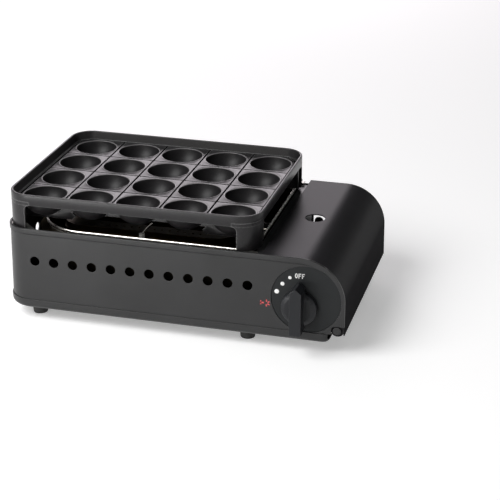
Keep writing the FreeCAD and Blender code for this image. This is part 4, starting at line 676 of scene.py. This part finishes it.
def rim_sections():
    """Sections from the border groove over the rim and down its outside: growth, radius, height."""
    border = ((0.1, -GROOVE_DEEP - 0.1), (0.3, -BORDER_DEEP), (0.75, -BORDER_DEEP), (0.85, -0.2), (0.95, 0.0))
    sections = [((out, out), BLOCK_ROUND + out, height) for out, height in border]
    foot_round, top_round = 0.5, 0.9
    profile = [(foot_round * (math.sin(turn) - 1) - RIM_FOOT, foot_round * (1 - math.cos(turn)))
               for turn in (0, math.pi / 6, math.pi / 3, math.pi / 2)]
    profile.append(((RIM_DRAFT - RIM_FOOT) / 2, RIM_HEIGHT / 2))
    profile += [(RIM_DRAFT + top_round * (1 - math.cos(turn)), RIM_HEIGHT - top_round * (1 - math.sin(turn)))
                for turn in QUARTER]
    profile += [(RIM_WALL - top_round * (1 - math.sin(turn)), RIM_HEIGHT - top_round * (1 - math.cos(turn)))
                for turn in QUARTER]
    profile += [(RIM_WALL, -DECK + 0.8), (RIM_WALL - 0.25, -DECK + 0.2), (RIM_WALL - 0.8, -DECK)]
    inner = [half - RIM_WALL - CUP_HALF * count for half, count in zip(PLATE_HALF, CUPS)]
    for out, height in profile:
        sections.append(((inner[0] + out, inner[1] + out), PLATE_ROUND - RIM_WALL + out, height))
    return sections


def open_loop(work, height):
    """Border vertices at a height, in order around the plate."""
    links = {}
    for edge in work.edges:
        if len(edge.link_faces) == 1 and all(abs(vert.co.z - height * MM) < 0.01 * MM for vert in edge.verts):
            for vert in edge.verts:
                links.setdefault(vert, []).append(edge.other_vert(vert))
    start = next(iter(links))
    loop, before = [start], None
    while True:
        here = loop[-1]
        onward = [vert for vert in links[here] if vert is not before][0]
        if onward is start:
            return loop
        before = here
        loop.append(onward)


def nearest(verts, x, y):
    """The vertex nearest to a place in plan, in millimetres."""
    return min(verts, key=lambda vert: (vert.co.x / MM - x) ** 2 + (vert.co.y / MM - y) ** 2)


def join_rings(work, first, second):
    for corners in quads(first, second):
        work.faces.new(corners)


def moved(data, x, y, z=0.0):
    """A mesh moved by millimetres."""
    data.transform(Matrix.Translation((x * MM, y * MM, z * MM)))
    return data


def deck_and_rim():
    """All cups joined with the margin, the rim and the outside wall as one closed shell."""
    ends = [row_places(count)[-1] for count in CUPS]
    plain, corners = [], []
    for x, y in cup_places():
        at_corner = abs(x) == ends[0] and abs(y) == ends[1]
        (corners if at_corner else plain).append((x, y, 0.0))
    work = opened(repeated("cups", cup_cell().mesh("cup"), plain, CAST_BLACK))
    for x, y, _ in corners:
        sign = (math.copysign(1, x), math.copysign(1, y))
        work.from_mesh(moved(cup_cell(sign).mesh("corner_cup"), x, y))
    bmesh.ops.remove_doubles(work, verts=work.verts, dist=0.005 * MM)
    ring = open_loop(work, -GROOVE_DEEP)
    border = [(vert.co.x / MM, vert.co.y / MM) for vert in ring]
    lower = open_loop(work, -DECK)
    for section in rim_sections():
        points = plate_outline(border, *section)
        onward = [work.verts.new([value * MM for value in point]) for point in points]
        join_rings(work, ring, onward)
        ring = onward
    join_rings(work, ring, [nearest(lower, x, y) for x, y in border])
    return work


def leg(corner):
    """A corner leg that follows the round corner of the plate, with filleted windows beside it."""
    leg_width, window_round, end_round = 21.0, 5.0, 0.6
    under_skin = 0.02       # keeps the leg's faces off those of the rim
    steps = 14
    centre = [sign * (half - PLATE_ROUND) for sign, half in zip(corner, PLATE_HALF)]
    quarter = PLATE_ROUND * math.pi / 4

    def position(along, depth):
        """A point at a distance from the middle of the corner and a depth under its outside."""
        beyond = max(0.0, abs(along) - quarter)
        turn = math.pi / 4 + max(-quarter, min(quarter, along)) / PLATE_ROUND
        radius = PLATE_ROUND - depth
        x = math.cos(turn) * radius - (beyond if along > 0 else 0.0)
        y = math.sin(turn) * radius - (beyond if along < 0 else 0.0)
        return centre[0] + corner[0] * x, centre[1] + corner[1] * y

    def section(reach, height, shrink=0.0):
        if reach > PLATE_ROUND:
            half = quarter + reach - PLATE_ROUND
        else:
            half = PLATE_ROUND * (math.acos(1 - reach / PLATE_ROUND) - math.pi / 4)
        half -= shrink
        outer, inner = under_skin + shrink, RIM_WALL - 2 * under_skin - shrink
        inside = half - end_round
        middle = [inside * (2 * k / steps - 1) for k in range(steps + 1)]
        ends = [(half, outer + end_round), (half, inner - end_round)]
        path = [(along, outer) for along in middle] + ends
        path += [(along, inner) for along in reversed(middle)]
        path += [(-along, depth) for along, depth in reversed(ends)]
        return [position(along, depth) + (height,) for along, depth in path]

    foot = LEG_END - SURFACE
    rings = [section(leg_width, foot + up, less) for up, less in ((0.0, 0.5), (0.15, 0.15), (0.5, 0.0))]
    rings += [section(leg_width + window_round * (1 - math.cos(turn)),
                      -DECK - window_round * (1 - math.sin(turn))) for turn in QUARTER]
    rings.append(section(leg_width + window_round, 1.0))
    skin = Skin()
    skin.loft(rings, closed_ends=True)
    return skin


def under_cup(centre, start, end=None):
    """Points along the middle of a cup's wall, seen from the front, from one height down to another.

    Without an end they run round under the cup to the same height on its other side.
    """
    radius, steps = CUP_BALL + CUP_WALL / 2, 18 if end is None else 8
    first = math.asin((BALL_ABOVE - start) / radius)
    last = math.pi - first if end is None else math.asin((BALL_ABOVE - end) / radius)
    turns = [first + (last - first) * k / steps for k in range(steps + 1)]
    return [(centre + radius * math.cos(turn), BALL_ABOVE - radius * math.sin(turn)) for turn in turns]


def rib_outlines(deep_ends):
    """Outlines, seen from the front, of the rib pieces between the cups of one row."""
    shallow, deep, point, web = 14.4, 22.0, 4.0, 60.0
    low, foot = -DECK - shallow, -DECK - deep
    high = -DECK + 0.5
    centres = row_places(CUPS[0])
    outlines = []
    for left, right in zip(centres, centres[1:]):
        if deep_ends and (left == centres[0] or right == centres[-1]):
            continue
        down = under_cup(left, high, low)
        outlines.append(down + [(left + right - x, z) for x, z in reversed(down)])
    if deep_ends:
        wall = PLATE_HALF[0] - RIM_WALL / 2
        tip = PLATE_HALF[0] - RIM_WALL - web
        end = under_cup(centres[-2], high, low)
        end += [(tip + point, low), (tip, foot + point), (tip + point, foot), (wall, foot), (wall, high)]
        end += under_cup(centres[-1], high)
        outlines += [end, [(-x, z) for x, z in reversed(end)]]
    return outlines


def ribs(line, deep_ends):
    """The ribs under one row of cups; in the outer rows they run on to the side walls as deep webs."""
    half_wall = 1.5
    skin = Skin()
    for outline in rib_outlines(deep_ends):
        sides = [[(x, line + side * half_wall, z) for x, z in outline] for side in (-1, 1)]
        skin.loft(sides, closed_ends=True)
    work = opened(skin.mesh("ribs"))
    bmesh.ops.recalc_face_normals(work, faces=work.faces)
    round_sharp_edges(work, 0.5)
    return closed(work, "rounded_ribs")


def mark_plate(data):
    """Mark the lips, the bowls and the grooves; the origin is in the middle of the surface."""
    lip_inside, lip_outside, lip_low = 21.0, 22.6, -0.35
    groove_high, groove_low = -0.05, -1.6
    inside = [half - RIM_WALL - RIM_FOOT for half in PLATE_HALF]
    centres = cup_places()
    marks = {LIP_HIGHLIGHT: [], GROOVE_SHADE: [], DULL_BOWL: []}
    for vert in data.vertices:
        x, y, z = (value / MM for value in vert.co)
        away = min(math.hypot(x - side, y - deep) for side, deep in centres)
        on_deck = abs(x) < inside[0] and abs(y) < inside[1]
        # lips are marked for a painted highlight and grooves for painted shade
        marks[LIP_HIGHLIGHT].append(float(on_deck and lip_inside < away < lip_outside and z > lip_low))
        marks[GROOVE_SHADE].append(float(on_deck and away > lip_outside and groove_low < z < groove_high))
        marks[DULL_BOWL].append(float(on_deck and away < lip_inside))
    for name, values in marks.items():
        data.attributes.new(name, "FLOAT", "POINT").data.foreach_set("value", values)


def cast_plate():
    """The loose plate: one casting of cups, deck, rim, corner legs and ribs."""
    work = deck_and_rim()
    lines = row_places(CUPS[1])
    for line in lines:
        work.from_mesh(ribs(line, line in (lines[0], lines[-1])))
    for x in (-1, 1):
        for y in (-1, 1):
            work.from_mesh(leg((x, y)).mesh("leg"))
    data = tidy_mesh(closed(work, "cast_plate"), 38.0)
    mark_plate(data)
    moved(data, PLATE_SIDE, PLATE_MIDDLE, SURFACE)
    piece("cast_plate", data, "plate", CAST_BLACK, "takoyaki_plate")


cast_plate()

# ---------------------------------------------------------------- pressed and moulded shells

LIP_FOOT = 92.5         # the rolled lip of the body starts above this height
LIP_BAND = (92.5, 97.6)
LIP_TOP = 98.0
TRAY_RIM_FOOT = 92.0
TRAY_RIM_SWELL = 1.65   # the rolled tray rim is this much taller than its plain band
SHELLS = (              # node, piece, body, and the radius, picked edges and fineness of each rounding
    ("body_shell", "pressed_body", "base",
     (1.1, above(LIP_TOP), 3), (0.7, between(*LIP_BAND)), (0.35, below(LIP_FOOT))),
    ("base_pan", "folded_pan", "base", (0.25,)),
    ("cartridge_cover", "rolled_cover", "cover", (0.4,)),
    ("partition", "heat_shield", "base", (0.3,)),
    ("plate_rests", "folded_rests", "base", (0.3,)),
    ("burner_upper", "burner_top_pressing", "base", (0.25,)),
    ("burner_lower", "burner_bottom_pressing", "base", (0.25,)),
    ("rubber_feet", "moulded_feet", "base", (0.9,)),
    ("dial_plate", "dial_disc", "base", (0.15,)),
    ("knob", "turning_knob", "knob", (0.55,)),
    ("cartridge_seat", "pressed_seat", "base", (0.3,)),
    ("valve_bracket", "folded_valve_bracket", "base", (0.3,)),
    ("hinge_brackets", "folded_hinge_brackets", "base", (0.3,)),
    ("hinge_pins", "turned_hinge_pins", "base", (0.4,)),
    ("tray_supports", "folded_tray_supports", "base", (0.2,)),
    ("valve_body", "cast_valve", "base", (0.5,)),
    ("governor_cap", "cast_governor_cap", "base", (0.5,)),
)


def drip_tray():
    """The deep drawn tray with its rolled rim."""
    tray = softened("drip_tray", "deep_drawn_tray", "base", (1.1, outer_above(TRAY_RIM_FOOT), 3),
                    (0.35, below(TRAY_RIM_FOOT)), finish=TRAY_STEEL)
    foot = TRAY_RIM_FOOT * MM
    for vert in tray.data.vertices:
        if vert.co.z > foot:
            vert.co.z = foot + (vert.co.z - foot) * TRAY_RIM_SWELL


for shell in SHELLS:
    softened(*shell)
drip_tray()

# ---------------------------------------------------------------- screws

SCREW_HEAD = 3.0
SCREW_HEAD_TALL = 1.6
SCREW_SHANK = 1.5
SCREW_RAYS = 32
RECESS = ((0.75, 0.35, -0.85), (1.6, 0.5, -0.14), (1.72, 0.6, -0.04))   # reach, narrowest, height
RECESS_FLOOR = -0.9
DOME = ((0.68, -0.02), (0.84, -0.16), (0.95, -0.42))                    # share of the head, height
HEAD_UP, HEAD_DOWN, HEAD_BACK = (0.0, 0.0, 0.0), (math.pi, 0.0, 0.0), (-math.pi / 2, 0.0, 0.0)
SCREWS = (
    ("pan_screws", "pan_head_screws", HEAD_DOWN),
    ("foot_screws", "foot_fixing_screws", HEAD_UP),
    ("tray_screws", "tray_fixing_screws", HEAD_UP),
    ("burner_screws", "burner_fixing_screws", HEAD_DOWN),
    ("valve_screws", "valve_fixing_screws", HEAD_BACK),
    ("governor_screws", "governor_fixing_screws", HEAD_BACK),
)


def cross(reach, narrow, height):
    """The outline of a cross recess."""
    points = []
    for k in range(SCREW_RAYS):
        turn = 2 * math.pi * k / SCREW_RAYS
        radius = narrow + (reach - narrow) * abs(math.cos(2 * turn)) ** 3
        points.append((radius * math.cos(turn), radius * math.sin(turn), height))
    return points


def screw_cell(length):
    """A pan-head screw with a cross recess; its head's top is at the origin and faces up."""
    sides = [(SCREW_HEAD * share, height) for share, height in DOME]
    sides += [(SCREW_HEAD - 0.02, -0.8), (SCREW_HEAD - 0.02, 0.1 - SCREW_HEAD_TALL),
              (SCREW_HEAD - 0.12, 0.01 - SCREW_HEAD_TALL), (SCREW_SHANK, 0.01 - SCREW_HEAD_TALL),
              (SCREW_SHANK, 0.4 - length), (SCREW_SHANK * 0.7, 0.02 - length)]
    skin = Skin()
    made = skin.loft([cross(*step) for step in RECESS]
                     + [circle(radius, height, SCREW_RAYS) for radius, height in sides])
    skin.fan(made[0], (0.0, 0.0, RECESS_FLOOR))
    skin.fan(made[-1], (0.0, 0.0, 0.02 - length))
    return skin


def islands(node):
    """The lowest and highest corner, in millimetres, of every separate solid of a node."""
    work = merged_copy(node)
    found, seen = [], set()
    for start in work.verts:
        if start in seen:
            continue
        stack, members = [start], []
        seen.add(start)
        while stack:
            vert = stack.pop()
            members.append(vert.co / MM)
            for edge in vert.link_edges:
                onward = edge.other_vert(vert)
                if onward not in seen:
                    seen.add(onward)
                    stack.append(onward)
        found.append([[pick(point[axis] for point in members) for axis in range(3)] for pick in (min, max)])
    work.free()
    return found


def cut_screws(node, name, turn):
    """Screws with recessed heads in place of a node's plain ones."""
    axis = 1 if turn == HEAD_BACK else 2
    places = []
    for low, high in islands(node):
        place = [(a + b) / 2 for a, b in zip(low, high)]
        place[axis] = low[axis] if turn == HEAD_DOWN else high[axis]
        length = high[axis] - low[axis]
        places.append(place)
    slot = SLOT_OF[node]
    data = repeated(name, screw_cell(length).mesh(name + "_cell"), places, FINISH[slot], turn)
    piece(name, tidy_mesh(data, 40.0), "base", FINISH[slot], node)


for screws in SCREWS:
    cut_screws(*screws)

# ---------------------------------------------------------------- printed marks

DIAL_FACE = box_of("dial_plate")[0][1]
BODY_FACE = -95.3       # front wall of the body
PRINT = 0.06            # thickness of the print
PRINT_SUNK = 0.01       # its back lies this deep in the face
PRINT_EDGE = 0.05       # its edge is rounded off over this width
DOTS = ((107.3, 61.5, 2.3), (112.8, 70.1, 2.0), (120.0, 77.2, 1.7))
PRINT_RAYS = 28
OFF_PLACE = (129.6, 79.9)
OFF_TALL = 5.0
OFF_WIDE = OFF_TALL * 0.54
OFF_LINE = 0.82
OFF_GAP = 0.7           # between two letters
SPARK_PLACE = (96.2, 48.4)
SPARK_SIZE = 1.04       # of the sign against its drawn size


def printed(skin, points, face=DIAL_FACE):
    """A printed shape of flat points (side, up): raised a little from its face, its edge rounded off."""
    centre = Vector((sum(x for x, z in points) / len(points), sum(z for x, z in points) / len(points)))
    back = [(x, face + PRINT_SUNK, z) for x, z in points]
    middle = [(x, face - PRINT * 0.7, z) for x, z in points]
    inset = []
    for x, z in points:
        way = Vector((x, z)) - centre
        shorter = centre + way * max(0.0, 1 - PRINT_EDGE / max(way.length, PRINT_EDGE))
        inset.append((shorter.x, face - PRINT, shorter.y))
    skin.loft([back, middle, inset], closed_ends=True)


def dial_dots():
    skin = Skin()
    for x, z, radius in DOTS:
        printed(skin, [(x + px, z + pz) for px, pz, _ in circle(radius, 0.0, PRINT_RAYS)])
    return skin


def stroke(points, width):
    """The outline of a straight stroke between two points."""
    (x0, z0), (x1, z1) = points
    way = Vector((x1 - x0, z1 - z0)).normalized() * (width / 2)
    side = Vector((-way.y, way.x))
    corners = ((x0, z0, side), (x1, z1, side), (x1, z1, -side), (x0, z0, -side))
    return [(x + s.x, z + s.y) for x, z, s in corners]


def off_letters():
    """The word OFF in plain strokes."""
    skin = Skin()
    tall, wide, line = OFF_TALL, OFF_WIDE, OFF_LINE
    x, z = OFF_PLACE[0] - (3 * wide + 2 * OFF_GAP) / 2, OFF_PLACE[1] - tall / 2
    outer, inner = [[(x + wide / 2 + (wide / 2 - less) * side, z + tall / 2 + (tall / 2 - less) * up)
                     for side, up, _ in circle(1.0, 0.0, PRINT_RAYS)] for less in (0.0, line)]
    levels = [(outer, PRINT_SUNK), (outer, -PRINT), (inner, -PRINT), (inner, PRINT_SUNK), (outer, PRINT_SUNK)]
    skin.loft([[(px, DIAL_FACE + out, pz) for px, pz in ring] for ring, out in levels])
    for letter in (1, 2):
        start = x + letter * (wide + OFF_GAP)
        for ends in (((start + line / 2, z), (start + line / 2, z + tall)),
                     ((start, z + tall - line / 2), (start + wide, z + tall - line / 2)),
                     ((start, z + tall * 0.52), (start + wide * 0.8, z + tall * 0.52))):
            printed(skin, stroke(ends, line))
    return skin


def spark_sign():
    """A plain sign for ignition beside the dial: a short electrode and a spark of rays."""
    skin = Skin()
    x, z = SPARK_PLACE
    size = SPARK_SIZE

    def line(start, end, width):
        printed(skin, stroke((tuple(start), tuple(end)), width * size), BODY_FACE)

    line((x - 4.6 * size, z), (x - 1.2 * size, z), 1.7)
    line((x - 4.2 * size, z - 2.0 * size), (x - 4.2 * size, z + 2.0 * size), 1.2)
    heart = Vector((x + 1.2 * size, z))
    for turn in (90, 30, -30, -90):
        way = Vector((math.cos(math.radians(turn)), math.sin(math.radians(turn)))) * size
        line(heart + way * 1.2, heart + way * 3.6, 1.3)
    return skin


for mark, drawing, ink in (("dial_dots", dial_dots, WHITE_PRINT), ("off_letters", off_letters, WHITE_PRINT),
                           ("ignition_sign", spark_sign, RED_PRINT)):
    piece(mark, tidy_mesh(drawing().mesh(mark), 30.0, FINE_MERGE), "base", ink)

# ---------------------------------------------------------------- studio

AIM = Vector((0.052164, 0.006243, 0.059683))
CAMERA_AZIMUTH = math.radians(14.956)
CAMERA_ELEVATION = math.radians(22.935)
CAMERA_ROLL = math.radians(0.194)
CAMERA_DISTANCE = 1.542
SENSOR = 36.0
LENS = 108.73
SHIFT = (0.00346, -0.00539)
LAMPS = (               # name, place, target, size, watts, tint
    ("key", (-0.90, -1.04, 1.47), (0, 0, 0.05), (1.25, 1.25), 35, (1, 1, 1)),
    ("left_front", (-0.34, -0.66, 0.05), (-0.1, -0.09, 0.1), (0.35, 0.12), 1.45, (1, 1, 1)),
    ("back_left", (-0.58, 1.85, 0.85), (0, 0, 0.1), (1.05, 0.7), 10.0, (1.0, 0.93, 0.985)),
    ("front_strip", (-0.32, -1.30, 0.28), (0, 0, 0.12), (0.9, 0.25), 1.6, (1.0, 0.97, 0.92)),
)
ROOM_FILL = 0.18        # light that the room gives from all around
CEILING = 0.05          # dark upper room
HORIZON = (0.09, 0.16)  # the pale backdrop ends between these heights, as sines of their angles
FLOOR_HALF = 4.0
FLOOR_TONE = 0.88
FLOOR_GLOW = 0.33       # what straight and mirrored rays see above the lit floor


def make_camera():
    turn, rise = CAMERA_AZIMUTH, CAMERA_ELEVATION
    back = Vector((math.sin(turn) * math.cos(rise), -math.cos(turn) * math.cos(rise), math.sin(rise)))
    right = Vector((math.cos(turn), math.sin(turn), 0))
    up = back.cross(right)
    rolled_right = right * math.cos(CAMERA_ROLL) + up * math.sin(CAMERA_ROLL)
    rolled_up = up * math.cos(CAMERA_ROLL) - right * math.sin(CAMERA_ROLL)
    data = bpy.data.cameras.new("camera")
    data.sensor_width, data.lens = SENSOR, LENS
    data.shift_x, data.shift_y = SHIFT
    camera = placed("camera", data)
    axes = Matrix((rolled_right, rolled_up, back)).transposed()
    camera.matrix_world = Matrix.Translation(AIM + back * CAMERA_DISTANCE) @ axes.to_4x4()
    bpy.context.scene.camera = camera


def make_lamp(name, place, target, size, watts, tint):
    data = bpy.data.lights.new(name, "AREA")
    data.shape = "RECTANGLE"
    data.size, data.size_y = size
    data.energy = watts
    data.color = tint
    aim = Vector(target) - Vector(place)
    turned = aim.to_track_quat("-Z", "Y").to_matrix().to_4x4()
    placed(name, data).matrix_world = Matrix.Translation(place) @ turned


def background_rays(tree):
    """1 for rays that should see the pale backdrop: straight, mirrored and through glass."""
    path = add(tree, "ShaderNodeLightPath").outputs
    first = add(tree, "ShaderNodeMath", path["Is Camera Ray"], path["Is Glossy Ray"], operation="MAXIMUM")
    both = add(tree, "ShaderNodeMath", first.outputs[0], path["Is Transmission Ray"], operation="MAXIMUM")
    return both.outputs[0]


def make_world():
    """A dark room with a pale backdrop low all round."""
    world = bpy.data.worlds.new("studio")
    world.use_nodes = True
    tree = world.node_tree
    way = add(tree, "ShaderNodeTexCoord").outputs["Generated"]
    height = add(tree, "ShaderNodeSeparateXYZ", Vector=way)
    low = add(tree, "ShaderNodeMapRange", interpolation_type="SMOOTHSTEP", Value=height.outputs["Z"],
              From_Min=HORIZON[0], From_Max=HORIZON[1], To_Min=1.0, To_Max=CEILING)
    strength = add(tree, "ShaderNodeMix", data_type="FLOAT", Factor=background_rays(tree), A=ROOM_FILL,
                   B=low.outputs[0])
    surface = tree.nodes["Background"].inputs
    feed(tree, surface["Strength"], strength.outputs[0])
    feed(tree, surface["Color"], grey(1.0))
    bpy.context.scene.world = world


def make_floor():
    """A pale floor; straight and mirrored rays see it near white, and it still takes the shadow."""
    made, tree, shader = material("pale_floor", Roughness=0.9, Specular_IOR_Level=0.1,
                                  Base_Color=grey(FLOOR_TONE), Emission_Color=grey(1.0))
    feed(tree, shader["Emission Strength"], ranged(tree, background_rays(tree), 0.0, FLOOR_GLOW))
    data = bpy.data.meshes.new("floor")
    corners = [(x * FLOOR_HALF, y * FLOOR_HALF, 0) for x, y in ((-1, -1), (1, -1), (1, 1), (-1, 1))]
    data.from_pydata(corners, [], [(0, 1, 2, 3)])
    data.materials.append(made)
    placed("floor", data)


make_camera()
make_world()
make_floor()
for lamp in LAMPS:
    make_lamp(*lamp)
bpy.context.scene.view_settings.view_transform = "Standard"
